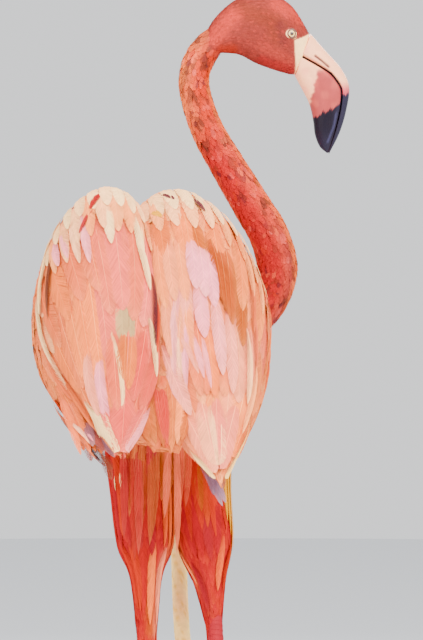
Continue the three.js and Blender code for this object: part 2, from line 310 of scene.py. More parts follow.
# The feathers of the tail lie on a wedge that closes to an edge.
TAIL_FAN = Hull(
    top=spine_line((128, 716), (176, 678), (207, 638)),
    bottom=spine_line((140, 664), (176, 646), (206, 637)),
    half=(27, 25, 13),
)
NECK = Limb(
    path=(
        (0, -140, 752), (-14, -196, 744), (-52, -236, 733), (-98, -244, 735), (-134, -224, 757),
        (-150, -206, 795),
        (-141, -193, 832), (-120, -182, 866), (-95, -172, 905), (-70, -162, 947), (-57, -155, 990),
        (-64, -151, 1019),
        (-87, -150, 1044),
    ),
    across=(54, 43, 31, 25.5, 23, 21.8, 21, 20, 18.5, 17, 16, 16, 14.5),
    deep=(54, 43, 31, 25.5, 23, 21.8, 21, 20, 18.5, 17, 16, 16, 14.5),
    side=(0, 1, 0),
)
HEAD = Hull(
    top=face_line((-64, 1034), (-78, 1058), (-100, 1077), (-128, 1085), (-156, 1072), (-176, 1043)),
    bottom=face_line((-81, 1022), (-90, 1022), (-104, 1020), (-122, 1011), (-142, 1004), (-160, 999)),
    half=(15, 19.5, 22.5, 23, 20.5, 14.5),
    side=(0, 1, 0),
)
GAPE = face_line(
    (-166, 1019), (-181, 1011), (-197, 1001), (-207.5, 986), (-207, 966), (-202, 943), (-195.5, 921)
)
UPPER_BILL = Hull(
    top=face_line(
        (-177, 1042), (-193, 1024), (-209, 1006), (-217, 987), (-214, 963), (-207, 940), (-196.5, 919)
    ),
    bottom=GAPE,
    half=(14.5, 14, 13, 11.5, 10, 7.5, 2),
    side=(0, 1, 0),
    waist=(0.16, 0.16),
    power=(0.85, 0.85),
)
LOWER_BILL = Hull(
    top=GAPE,
    bottom=face_line(
        (-161, 999), (-168, 986), (-176, 970), (-180, 953), (-182, 938), (-187, 926), (-194.5, 919.5)
    ),
    half=(13.5, 14, 15, 15, 12.5, 8.5, 2),
    side=(0, 1, 0),
    waist=(0.86, 0.86),
    power=(0.85, 0.85),
)


def folded_wing(side: Side) -> Hull:
    """A folded wing; the right one is held further out, and its tip hangs lower.

    Args:
        side: Which wing.

    Returns:
        Its form, with u = 0 on the outer side of either wing.
    """
    spread, droop = (1.0, 0.0) if side is Side.LEFT else (1.18, 27.0)
    crest = (
        (16, -168, 770), (14, -144, 838), (22, -66, 884), (24, 30, 856), (26, 108, 788), (34, 166, 716),
        (43, 209, 637),
    )
    lower = (
        (40, -168, 760), (60, -150, 702), (70, -70, 674), (68, 24, 658), (58, 104, 644), (50, 164, 636),
        (44, 211, 633),
    )

    def posed(points: Line) -> Line:
        """The line set out from the middle plane, lower towards its end."""
        end = len(points) - 1
        return tuple(
            (SPINE_X + side.value * spread * x, y, z - droop * (i / end) ** 2)
            for i, (x, y, z) in enumerate(points)
        )

    return Hull(
        top=posed(crest),
        bottom=posed(lower),
        half=tuple(spread * w for w in (3, 40, 56, 57.5, 47, 33, 1.5)),
        side=(side.value, 0, 0),
        waist=(0.5, 0.5, 0.5, 0.5, 0.52, 0.62, 0.62),
        power=(1, 1, 1, 1, 1, 1.25, 1.25),
    )


WINGS = {side: folded_wing(side) for side in Side}
PRIMARIES = {
    Side.LEFT: Limb(
        path=((102, 60, 674), (96, 110, 660), (83, 160, 643), (70, 196, 626)),
        across=(10, 17, 20, 13), deep=(2, 4, 4, 1.6), side=(-0.62, 0, -0.78),
    ),
    Side.RIGHT: Limb(
        path=((-52, 60, 648), (-46, 110, 640), (-38, 160, 624), (-34, 206, 604)),
        across=(10, 17, 20, 13), deep=(2, 4, 4, 1.6), side=(-0.69, 0, -0.72),
    ),
}
THIGHS = {
    Side.LEFT: Limb(
        path=((18, -62, 668), (13, -46, 626), (10, -28, 578), (9, -9, 530), (9.5, 2, 499), (10, 14, 446)),
        across=(36, 34, 32, 28.5, 16.5, 10.5), deep=(40, 40, 36, 31, 18, 11.5), least=10.3,
    ),
    Side.RIGHT: Limb(
        path=(
            (-50, -62, 668), (-49, -48, 622), (-49, -28, 574), (-51, -9, 528), (-54, 4, 492), (-56, 20, 452)
        ),
        across=(36, 33, 30, 27.5, 16, 8.5), deep=(40, 39, 35, 30, 18, 10), least=8.5,
    ),
}
SHANKS = {
    Side.LEFT: Limb(
        path=((10, 2, 490), (10, 14, 440), (9.5, 29, 342)), across=(9.5, 9, 8.5), deep=(9.5, 9, 9)
    ),
    Side.RIGHT: Limb(
        path=((-55, 8, 490), (-56.5, 28, 437), (-47, 66, 350)), across=(7.8, 7.6, 8.2), deep=(9, 8.6, 9)
    ),
}
ANKLES = {
    Side.LEFT: Limb(
        path=((10, 28, 342), (9.5, 33, 322), (8.5, 32, 302)), across=(9, 12.5, 9), deep=(9.5, 14, 9.5)
    ),
    Side.RIGHT: Limb(
        path=((-48, 61, 358), (-42, 78, 331), (-35, 62, 342)), across=(8.5, 12, 8.5), deep=(9, 12.5, 8.5)
    ),
}
TARSI = {
    Side.LEFT: Limb(path=((9, 31, 312), (5, 28, 160), (1, 25, 8)), across=(8.5, 7.4, 8.5), deep=(9, 7.6, 9)),
    Side.RIGHT: Limb(
        path=((-35, 66, 338), (-30.5, -28, 434), (-37, -124, 534)), across=(8, 7.8, 8), deep=(8.5, 7.6, 8.5)
    ),
}


@dataclass(frozen=True)
class Foot:
    """A webbed foot in its own frame: toes along -Y from the pad, the sole in the plane Z = 0.

    Lengths and places are in millimetres; the spread between two toes and the tilt are in degrees.
    """

    side: Side
    spread: float
    place: Place
    tilt: float = 0.0
    toes: tuple[tuple[str, float], ...] = (("middle", 88), ("inner", 76), ("outer", 82))
    claw: float = 10.0
    sunk: float = 0.9
    half_width: tuple[float, ...] = (8, 5.6, 5, 3.4)
    half_height: tuple[float, ...] = (7.4, 5.4, 4.6, 3.2)
    web_reach: float = 0.86
    web_thick: float = 2.4

    def bearing(self, toe: str) -> float:
        """The turn of a toe from straight ahead; the inner toe lies towards the other leg."""
        return {"middle": 0, "inner": -1, "outer": 1}[toe] * self.side.value * math.radians(self.spread)

    def placed(self, points: Array) -> Array:
        """Points of the foot's own frame, tilted about X and set where the pad stands."""
        c, s = math.cos(math.radians(self.tilt)), math.sin(math.radians(self.tilt))
        x, y, z = np.moveaxis(np.asarray(points, float), -1, 0)
        return np.stack([x, c * y - s * z, s * y + c * z], -1) + np.asarray(self.place)

    def reach(self, turn: float, distance: float, z: float) -> Place:
        """A point of the foot's own frame, out along a bearing."""
        return (math.sin(turn) * distance, -math.cos(turn) * distance, z)

    def limb(self, local: Line, across: tuple[float, ...], deep: tuple[float, ...]) -> Limb:
        """A limb from a path in the foot's own frame."""
        return Limb(path=tuple(map(tuple, self.placed(np.array(local)))), across=across, deep=deep)

    def toe(self, name: str, length: float) -> Limb:
        """One front toe, its underside a little below the sole so that it is flat there."""
        turn, stations = self.bearing(name), (-6, 0.3 * length, 0.66 * length, length)
        path = tuple(self.reach(turn, d, h - self.sunk) for d, h in zip(stations, self.half_height))
        return self.limb(path, self.half_width, self.half_height)

    def hallux(self) -> Limb:
        """The short hind toe."""
        inner = -self.side.value
        return self.limb(((0, 2, 8), (inner * 3, 10, 5), (inner * 5, 20, 1.7)), (4, 3.6, 2.2), (4, 3.4, 2.2))

    def nail(self, name: str, length: float) -> Limb:
        """The claw of one toe, curved down to the floor."""
        turn = self.bearing(name)
        stations = ((-3, 2.9), (1, 3.3), (4, 2.9), (7, 2.1), (self.claw, 1.1))
        path = tuple(self.reach(turn, length + d, z) for d, z in stations)
        return self.limb(path, (3, 2.9, 2.3, 1.5, 0.6), (2.7, 2.7, 2.1, 1.4, 0.6))

    def web(self, name: str, length: float) -> Pair:
        """The web from the middle toe to the one beside it, its front edge curved back.

        Args:
            name: The toe beside the middle one.
            length: That toe's length.

        Returns:
            The points and faces of a closed thin plate.
        """
        turn, across, out = self.bearing(name), 14, 18
        a, r = np.meshgrid(np.linspace(0, 1, across + 1), np.linspace(0.06, 1, out + 1), indexing="ij")
        ends = (self.toes[0][1] * self.web_reach, length * self.web_reach)
        bay = 4 * a * (1 - a)
        edge = ends[0] * (1 - a) + ends[1] * a - 26 * bay * 0.8
        distance, bearing = r * edge, turn * a
        ripple = 0.25 * np.sin(9 * np.pi * a) * r * bay
        flat = [np.sin(bearing) * distance, -np.cos(bearing) * distance]
        top = np.stack([*flat, self.web_thick - 0.5 * bay + ripple], -1)
        base = np.stack([*flat, np.zeros_like(a) + 0.05], -1)
        points = np.concatenate([top.reshape(-1, 3), base.reshape(-1, 3)])
        wide, n = out + 1, (across + 1) * (out + 1)
        i, j = (g.ravel() for g in np.meshgrid(np.arange(across), np.arange(out), indexing="ij"))
        first = i * wide + j
        upper = np.stack([first, first + wide, first + wide + 1, first + 1], -1)
        rim = np.concatenate([
            np.arange(out), np.arange(across) * wide + out, across * wide + np.arange(out, 0, -1),
            np.arange(across, 0, -1) * wide,
        ])
        after = np.roll(rim, -1)
        walls = np.stack([rim, after, after + n, rim + n], -1)
        return self.placed(points), np.concatenate([upper, upper[:, ::-1] + n, walls])


FEET = {
    Side.LEFT: Foot(Side.LEFT, spread=33, place=(0, 27, 0)),
    Side.RIGHT: Foot(Side.RIGHT, spread=17, place=(-37, -131, 529), tilt=12),
}


# ---------------------------------------------------------------- markings
class Hue(str, Enum):
    """The pigments of the plumage, each named for the hue that it shows as in this studio.

    The hues were set with measured mean colours as a guide. The pigment values were computed from them
    outside this script, by inverting a calibration of the lamps and the view transform. So were the
    pigments of the bill, eyes and claws further down.
    """

    CREAM = "#F6C381"
    SHELL = "#F6AB74"
    BLUSH = "#EF815B"
    PEACH = "#EA7332"
    APRICOT = "#E46526"
    TANGERINE = "#A6440D"
    ORANGE = "#99390D"
    SALMON = "#CF5232"
    ROSE = "#DA564C"
    CORAL = "#C9382D"
    LILAC = "#EE7C8C"
    MAUVE = "#7C5870"
    OLIVE = "#A48051"
    GOLD = "#D38E0D"
    STRAW = "#F6CE79"
    RUST = "#783021"
    SCARLET = "#AE240D"
    RED = "#9D1117"
    CRIMSON = "#8D1720"
    BRICK = "#813029"
    BROWN = "#532A22"
    WINE = "#51222A"


def closeness(points: Array, line: Line, reach: float) -> Array:
    """How near each point lies to a line: 1 on it, falling off to 0 beyond its reach in millimetres."""
    keys = np.asarray(line, float)
    near = np.full(points.shape[:-1], 1e9)
    for a, b in zip(keys[:-1], keys[1:]):
        h = np.clip(np.sum((points - a) * (b - a), -1) / np.sum((b - a) ** 2), 0, 1)
        near = np.minimum(near, np.sum((points - a - h[..., None] * (b - a)) ** 2, -1))
    return np.exp(-((near / reach**2) ** 1.5))


@dataclass(frozen=True)
class Stroke:
    """A patch or streak of colour in the plumage: a line, how far its colour reaches and how strong it is."""

    colour: str
    reach: float
    line: Line
    strength: float = 0.85

    def share(self, points: Array) -> Array:
        """How much of this colour shows at each point."""
        return self.strength * closeness(points, self.line, self.reach)


LEFT_WING, RIGHT_WING = WINGS[Side.LEFT].spots, WINGS[Side.RIGHT].spots
LEFT_THIGH, RIGHT_THIGH = THIGHS[Side.LEFT].spots, THIGHS[Side.RIGHT].spots
BACK_STROKES = (
    # pale shoulders
    Stroke(Hue.CREAM, 24, LEFT_WING((0.5, 0.4), (0, 0.42))),
    Stroke(Hue.CREAM, 22, RIGHT_WING((0.4, 0.4), (-0.2, 0.42))),
    # the left wing: a cream rim, a pink middle, coral towards the tip
    Stroke(Hue.CREAM, 7, LEFT_WING((0.8, 0.38), (1, 0.45), (1.1, 0.6))),
    Stroke(Hue.ROSE, 26, LEFT_WING((0.1, 0.55), (0, 0.7))),
    Stroke(Hue.APRICOT, 22, LEFT_WING((0.9, 0.6), (0.8, 0.75)), 0.6),
    Stroke(Hue.CORAL, 24, LEFT_WING((0, 0.85), (-0.3, 0.85))),
    Stroke(Hue.SALMON, 10, LEFT_WING((1.2, 0.65), (1.2, 0.9)), 0.7),
    # the right wing: an orange shoulder, lilac below it, blush on the flank
    Stroke(Hue.ORANGE, 16, RIGHT_WING((0.45, 0.6), (0.5, 0.7))),
    Stroke(Hue.BLUSH, 24, RIGHT_WING((0.1, 0.6), (0, 0.7))),
    Stroke(Hue.BLUSH, 30, RIGHT_WING((0.8, 0.7), (0.5, 0.85))),
    Stroke(Hue.SALMON, 9, RIGHT_WING((1, 0.5), (1.1, 0.7)), 0.7),
    # between the wings
    Stroke(Hue.RUST, 8, LEFT_WING((-0.5, 0.65), (-0.7, 0.75))),
    Stroke(Hue.SCARLET, 8, TAIL_FAN.spots((0, 0.6), (0, 0.9))),
)
THIGH_STROKES = (
    Stroke(Hue.SALMON, 9, LEFT_THIGH((-0.6, 0.2), (-0.7, 0.65))),
    Stroke(Hue.SCARLET, 20, LEFT_THIGH((0, 0.1), (0, 0.25)), 0.8),
    Stroke(Hue.BLUSH, 6, LEFT_THIGH((-0.5, 0.7), (-0.5, 1))),
    Stroke(Hue.TANGERINE, 5, LEFT_THIGH((-0.1, 0.8), (-0.1, 1))),
    Stroke(Hue.SALMON, 16, RIGHT_THIGH((0.4, 0.1), (0.3, 0.3)), 0.8),
    Stroke(Hue.GOLD, 7, RIGHT_THIGH((-0.9, 0.1), (-0.9, 0.65))),
    Stroke(Hue.PEACH, 5, RIGHT_THIGH((0.9, 0.5), (0.7, 0.8))),
    Stroke(Hue.CRIMSON, 7, RIGHT_THIGH((0.5, 0.75), (0.3, 0.95))),
)
# Painted light and shade over the head's red: lighter coral on the forehead and cheek, darker rust on the
# crown, wine behind the eye and red on the throat; the coral and scarlet at the nape carry the neck's colour
# on.
HEAD_COLOUR_AND_SHADING = (
    Stroke(Hue.CORAL, 8, face_line((-140, 1070), (-155, 1065), (-165, 1055)), 0.6),
    Stroke(Hue.RUST, 10, face_line((-105, 1065), (-135, 1055), (-140, 1040)), 0.7),
    Stroke(Hue.WINE, 5, face_line((-142, 1050), (-146, 1035)), 0.4),
    Stroke(Hue.CORAL, 6, face_line((-125, 1030), (-150, 1015)), 0.3),
    Stroke(Hue.RED, 5, face_line((-125, 1015), (-155, 1005)), 0.4),
    Stroke(Hue.CORAL, 9, face_line((-75, 1035), (-85, 1050), (-95, 1060)), 0.7),
    Stroke(Hue.SCARLET, 6, face_line((-85, 1025), (-95, 1025)), 0.5),
)


class Region(Enum):
    """A stretch of the body with a ground colour of its own."""

    BODY = "body"
    NECK = "neck"
    HEAD = "head"
    THIGH = "thigh"
    LEG = "leg"


class Markings:
    """The ground colours and streaks of the bird, the same for the skin and the coat over it."""

    bare_face: Line = (
        (-177, 0, 1043), (-167, 0, 1038), (-158, 0, 1035), (-158.5, 0, 1024), (-160, 0, 1010), (-160, 0, 998),
        (-164, 0, 994),
    )

    def paint(self, region: Region, points: Array, t: Array) -> Array:
        """The sRGB colour of the plumage or bare skin.

        Args:
            region: Which stretch of the body the points lie on.
            points: Places in millimetres.
            t: How far along their form each one lies.

        Returns:
            A colour for each point.
        """
        return {
            Region.BODY: self.body, Region.NECK: self.neck, Region.HEAD: self.head,
            Region.THIGH: self.thigh, Region.LEG: self.leg,
        }[region](points, t)

    def body(self, p: Array, t: Array) -> Array:
        """Peach, salmon to the left and in front, coral below, orange between the wings, and streaked."""
        x, y, z = np.moveaxis(p, -1, 0)
        between_wings = ramp(y, 128, 150) * ramp(26 - np.abs(x - SPINE_X), 0, 8)
        ground = layered(
            p, Hue.PEACH,
            (Hue.SALMON, 0.35 * ramp(x, 0, 60)), (Hue.SALMON, 0.8 * ramp(-y, 40, 150)),
            (Hue.CORAL, 0.75 * ramp(-z, -700, -640) * ramp(-y, -120, 40)),
            (Hue.ORANGE, 0.7 * between_wings),
        )
        return self.streaked(ground, p, BACK_STROKES)

    def streaked(self, ground: Array, p: Array, strokes: tuple[Stroke, ...]) -> Array:
        """A ground colour with each stroke laid over it in turn."""
        for stroke in strokes:
            ground = mix(ground, shade(stroke.colour), stroke.share(p))
        return ground

    def neck(self, p: Array, t: Array) -> Array:
        """Red, salmon at the base, scarlet and brick towards the head, blotched; painted light makes the +X
        side paler and both outlines pale, and painted shade darkens the -X side low down.
        """
        t = np.clip(t, 0, 1)
        out = (p - along(NECK.path, t))[..., 0] / along(NECK.across, t)
        upper = ramp(t, 0.7, 0.8)
        blotch = np.sin(0.19 * p[..., 0] + 0.07 * p[..., 2]) * np.sin(
            0.15 * p[..., 2] - 0.09 * p[..., 0] + 1.0
        )
        spread = np.maximum(ramp(t, 0.66, 0.72), ramp(-out, -0.1, 0.5))
        return layered(
            p, Hue.RED,
            (Hue.CORAL, 0.25), (Hue.SCARLET, 0.9 * upper),
            # painted light: this salmon, and the peach after the wine, are stronger on the +X side of the
            # upper neck, its lit side
            (Hue.SALMON, upper * (0.15 + 0.75 * ramp(out, -0.3, 0.5))),
            (Hue.BRICK, 0.8 * ramp(t, 0.9, 0.99)),
            (Hue.SALMON, 0.5 * ramp(-out, -0.1, 0.4) * (1 - upper)),
            # painted shade: wine darkening the -X side of the lower neck
            (Hue.WINE, 0.45 * ramp(-out, 0.1, 0.7) * ramp(-t, -0.56, -0.48)),
            (Hue.PEACH, 0.35 * upper * ramp(out, 0, 0.6)),
            (Hue.BROWN, 0.7 * spread * ramp(blotch, 0.3, 0.8)),
            (Hue.ROSE, 0.45 * spread * ramp(-blotch, 0.4, 0.9)),
            (Hue.SALMON, 0.95 * ramp(-t, -0.24, -0.08)),
            # painted light: peach along the +X outline of the middle neck; below it, painted rim light:
            # apricot along the -X outline of the lower neck
            (Hue.PEACH, 0.75 * ramp(t, 0.42, 0.55) * ramp(out, 0.6, 0.9)),
            (Hue.APRICOT, 0.8 * ramp(t, 0.25, 0.4) * ramp(-out, 0.55, 0.85)),
        )

    def head(self, p: Array, t: Array) -> Array:
        """Red, rusty on the crown and coral on the forehead as painted shade and painted light, with more of
        both on the cheek, throat and behind the eye; the face in front is bare and pale.
        """
        ground = np.broadcast_to(shade(Hue.BRICK), p.shape)
        flat = np.stack([p[..., 0], np.full_like(p[..., 0], HEAD_Y), p[..., 2]], -1)
        ground = self.streaked(ground, flat, HEAD_COLOUR_AND_SHADING)
        return mix(ground, shade(Hue.CREAM), self.bare(p))

    def bare(self, p: Array) -> Array:
        """How far a place on the head belongs to the bare face and the ring round the eye."""
        border = np.asarray(self.bare_face, float)[:, [0, 2]]
        order = np.argsort(border[:, 1])
        edge = np.interp(p[..., 2], border[order, 1], border[order, 0])
        front = ramp(edge - p[..., 0], -0.8, 0.8)
        eye = np.hypot(0.8 * (p[..., 0] - EYE_PLACE[0]), p[..., 2] - EYE_PLACE[1])
        sideways = ramp(np.abs(p[..., 1] - HEAD_Y), 11, 14)
        return np.clip(np.maximum(front, sideways * ramp(-eye, -5.1, -4.3)), 0, 1)

    def thigh(self, p: Array, t: Array) -> Array:
        """Red, with long strokes from crimson to gold and blush."""
        ground = layered(p, Hue.RED, (Hue.SCARLET, 0.6 * ramp(-p[..., 1], 10, 50)))
        return self.streaked(ground, p, THIGH_STROKES)

    def leg(self, p: Array, t: Array) -> Array:
        """Straw with pale waves and gold flecks, salmon at ankles and feet, scarlet up the shanks."""
        x, y, z = np.moveaxis(p, -1, 0)
        wave = 0.5 + 0.5 * np.sin(z * 0.11 + 0.7 * np.sin(z * 0.043))
        flecks = np.sin(0.42 * z + 1.1 * np.sin(0.35 * x)) * np.sin(0.55 * x + 0.23 * z)
        from_ankle = np.minimum(np.hypot(y - 33, z - 322), np.hypot(y - 76, z - 334))
        ground = layered(
            p, Hue.STRAW,
            (Hue.SHELL, 0.4 * wave), (Hue.GOLD, 0.5 * ramp(flecks, 0.3, 0.75) * ramp(z, 60, 120)),
            (Hue.SALMON, 0.75 * ramp(-from_ankle, -30, -8)),
        )
        right = ramp(-x, 20, 34)
        shank = layered(
            p, Hue.SCARLET, (Hue.CRIMSON, right), (Hue.PEACH, 0.8 * (1 - right) * ramp(4 - x, -4, 2))
        )
        thighward = ramp(z, 352, 372) * (y > -8)
        folded_tarsus = (np.abs(x + 33) < 12) & (y < 0.77 * (434 - z) - 10)
        ground = mix(ground, shank, thighward * ~folded_tarsus)
        return mix(ground, shade(Hue.SALMON), 0.6 * ramp(-z, -40, -12) * (z < 60))


MARKINGS = Markings()


# ---------------------------------------------------------------- meshes
def mesh_from(name: str, points: Array, faces: Array) -> Mesh:
    """A mesh in metres from points in millimetres.

    Args:
        name: The mesh's name.
        points: The vertices.
        faces: Four corners each, the last -1 for a triangle.

    Returns:
        The mesh, with flat faces.
    """
    mesh = bpy.data.meshes.new(name)
    sizes = np.where(faces[:, 3] < 0, 3, 4)
    corners = faces.ravel()
    corners = corners[corners >= 0]
    mesh.vertices.add(len(points))
    mesh.vertices.foreach_set("co", (points * MM).astype(np.float32).ravel())
    mesh.loops.add(len(corners))
    mesh.loops.foreach_set("vertex_index", corners.astype(np.int32))
    mesh.polygons.add(len(faces))
    mesh.polygons.foreach_set("loop_start", (np.cumsum(sizes) - sizes).astype(np.int32))
    mesh.update(calc_edges=True)
    return mesh


def joined(parts: list[Pair]) -> Pair:
    """Several meshes' points and faces as one."""
    starts = np.cumsum([0] + [len(points) for points, _ in parts])
    faces = [np.where(faces < 0, -1, faces + start) for (_, faces), start in zip(parts, starts)]
    faces = [f if f.shape[1] == 4 else np.pad(f, ((0, 0), (0, 1)), constant_values=-1) for f in faces]
    return np.concatenate([points for points, _ in parts]), np.concatenate(faces)


def piece(name: str, mesh: Mesh) -> Object:
    """A mesh as an object of the scene, at the origin."""
    made = bpy.data.objects.new(name, mesh)
    bpy.context.scene.collection.objects.link(made)
    return made


def finished(
    name: str, points: Array, faces: Array, colours: Array, finish: bpy.types.Material,
) -> Object:
    """A smooth piece of one finish, coloured at each vertex."""
    mesh = mesh_from(name, points, faces)
    smooth(mesh)
    coloured(mesh, colours)
    mesh.materials.append(finish)
    return piece(name, mesh)


def places(mesh: Mesh) -> Array:
    """A mesh's vertices in millimetres."""
    flat = np.empty(len(mesh.vertices) * 3, np.float32)
    mesh.vertices.foreach_get("co", flat)
    return flat.reshape(-1, 3).astype(float) / MM


def coloured(mesh: Mesh, colours: Array) -> None:
    """Stores sRGB colours, one for each vertex, as the mesh's plumage attribute."""
    layer = mesh.color_attributes.new("plumage", "FLOAT_COLOR", "POINT")
    rgba = np.ones((len(mesh.vertices), 4), np.float32)
    rgba[:, :3] = linear(colours)
    layer.data.foreach_set("color", rgba.ravel())
    mesh.color_attributes.active_color = layer


def applied(made: Object) -> Mesh:
    """The object's mesh with its modifiers applied; the object itself is removed."""
    result = bpy.data.meshes.new_from_object(made.evaluated_get(bpy.context.evaluated_depsgraph_get()))
    bpy.data.objects.remove(made)
    return result


def smooth(mesh: Mesh) -> None:
    """Makes every face smooth."""
    mesh.polygons.foreach_set("use_smooth", np.ones(len(mesh.polygons), bool))


def relaxed(mesh: Mesh, rounds: int, strength: float = 0.5) -> None:
    """Moves each vertex towards its neighbours' middle, which takes the steps of a remesh away."""
    edges = np.empty(len(mesh.edges) * 2, np.int32)
    mesh.edges.foreach_get("vertices", edges)
    a, b = edges.reshape(-1, 2).T
    p, n = places(mesh), len(mesh.vertices)
    count = np.maximum(np.bincount(a, minlength=n) + np.bincount(b, minlength=n), 1)
    for _ in range(rounds):
        total = np.stack([np.bincount(a, p[b, k], n) + np.bincount(b, p[a, k], n) for k in range(3)], 1)
        p = p + strength * (total / count[:, None] - p)
    mesh.vertices.foreach_set("co", (p * MM).astype(np.float32).ravel())
    mesh.update()


# ---------------------------------------------------------------- finishes
@dataclass(frozen=True)
class Surface:
    """A finish whose colour comes from the plumage attribute, broken up at two real scales.

    Sizes are in millimetres; `fine` and `coarse` are the spacing of the two patterns.
    """

    name: str
    roughness: float
    gloss: float = 0.5
    coat: float = 0.0
    fine: float = 1.0
    coarse: float = 9.0
    relief: float = 0.2
    mottle: float = 0.08
    scaly: bool = False

    def material(self) -> bpy.types.Material:
        """The finish as a material."""
        made = bpy.data.materials.new(self.name)
        made.use_nodes = True
        tree = made.node_tree
        tree.nodes.clear()
        spot = add_node(tree, "ShaderNodeTexCoord").outputs["Object"]
        ground = add_node(tree, "ShaderNodeAttribute", attribute_name="plumage").outputs["Color"]
        grain = add_node(
            tree, "ShaderNodeTexNoise", {"Vector": spot, "Scale": 1 / (self.fine * MM), "Detail": 3.0}
        )
        cloud = add_node(
            tree, "ShaderNodeTexNoise", {"Vector": spot, "Scale": 1 / (self.coarse * MM), "Detail": 2.0}
        )
        spread = add_node(
            tree, "ShaderNodeMapRange",
            {
                "Value": cloud.outputs["Fac"], "From Min": 0.3, "From Max": 0.7, "To Min": 1 - self.mottle,
                "To Max": 1 + self.mottle,
            },
        )
        value = add_node(
            tree, "ShaderNodeHueSaturation", {"Color": ground, "Value": spread.outputs["Result"]}
        )
        height = grain.outputs["Fac"]
        if self.scaly:
            # Horny scales about 2.4 mm across, that catch the light on their rims.
            scales = add_node(
                tree, "ShaderNodeTexVoronoi", {"Vector": spot, "Scale": 1 / (2.4 * MM)},
                feature="DISTANCE_TO_EDGE",
            )
            height = scales.outputs["Distance"]
        bump = add_node(
            tree, "ShaderNodeBump", {"Height": height, "Strength": 0.6, "Distance": self.relief * MM}
        )
        shader = add_node(
            tree, "ShaderNodeBsdfPrincipled",
            {
                "Base Color": value.outputs["Color"], "Normal": bump.outputs["Normal"],
                "Roughness": self.roughness,
                "IOR": 1.54, "Specular IOR Level": self.gloss, "Coat Weight": self.coat,
                "Coat Roughness": 0.15,
            },
        )
        add_node(tree, "ShaderNodeOutputMaterial", {"Surface": shader.outputs["BSDF"]})
        return made


# Barbed keratin vanes: matt, since the barbs scatter what light they catch.
FEATHER = Surface(
    "feather_keratin_barbed", roughness=0.9, gloss=0.0, fine=0.7, coarse=14, relief=0.12, mottle=0.07
)
# Stiffer flight feathers: smoother vanes with a faint gloss.
QUILL = Surface(
    "flight_feather_keratin_smooth", roughness=0.7, gloss=0.04, fine=0.7, coarse=16, relief=0.1, mottle=0.1
)
# Bare skin and horny scutes: a dry, slightly waxy surface.
HIDE = Surface(
    "bird_skin_scaled", roughness=0.6, gloss=0.06, fine=0.8, coarse=6, relief=0.35, mottle=0.08, scaly=True
)
# Bill horn: keratin worn to a low polish, with a fine grain.
HORN = Surface("bill_horn_polished", roughness=0.34, gloss=0.07, fine=0.9, coarse=7, relief=0.1, mottle=0.05)
# The eye: a wet cornea over a pale iris.
CORNEA = Surface(
    "eye_cornea_wet", roughness=0.08, gloss=0.3, coat=0.5, fine=0.6, coarse=2, relief=0.02, mottle=0.04
)
# Claw horn: dark keratin, dull from walking.
CLAW = Surface("claw_horn_worn", roughness=0.45, coat=0.1, fine=0.5, coarse=3, relief=0.1, mottle=0.12)


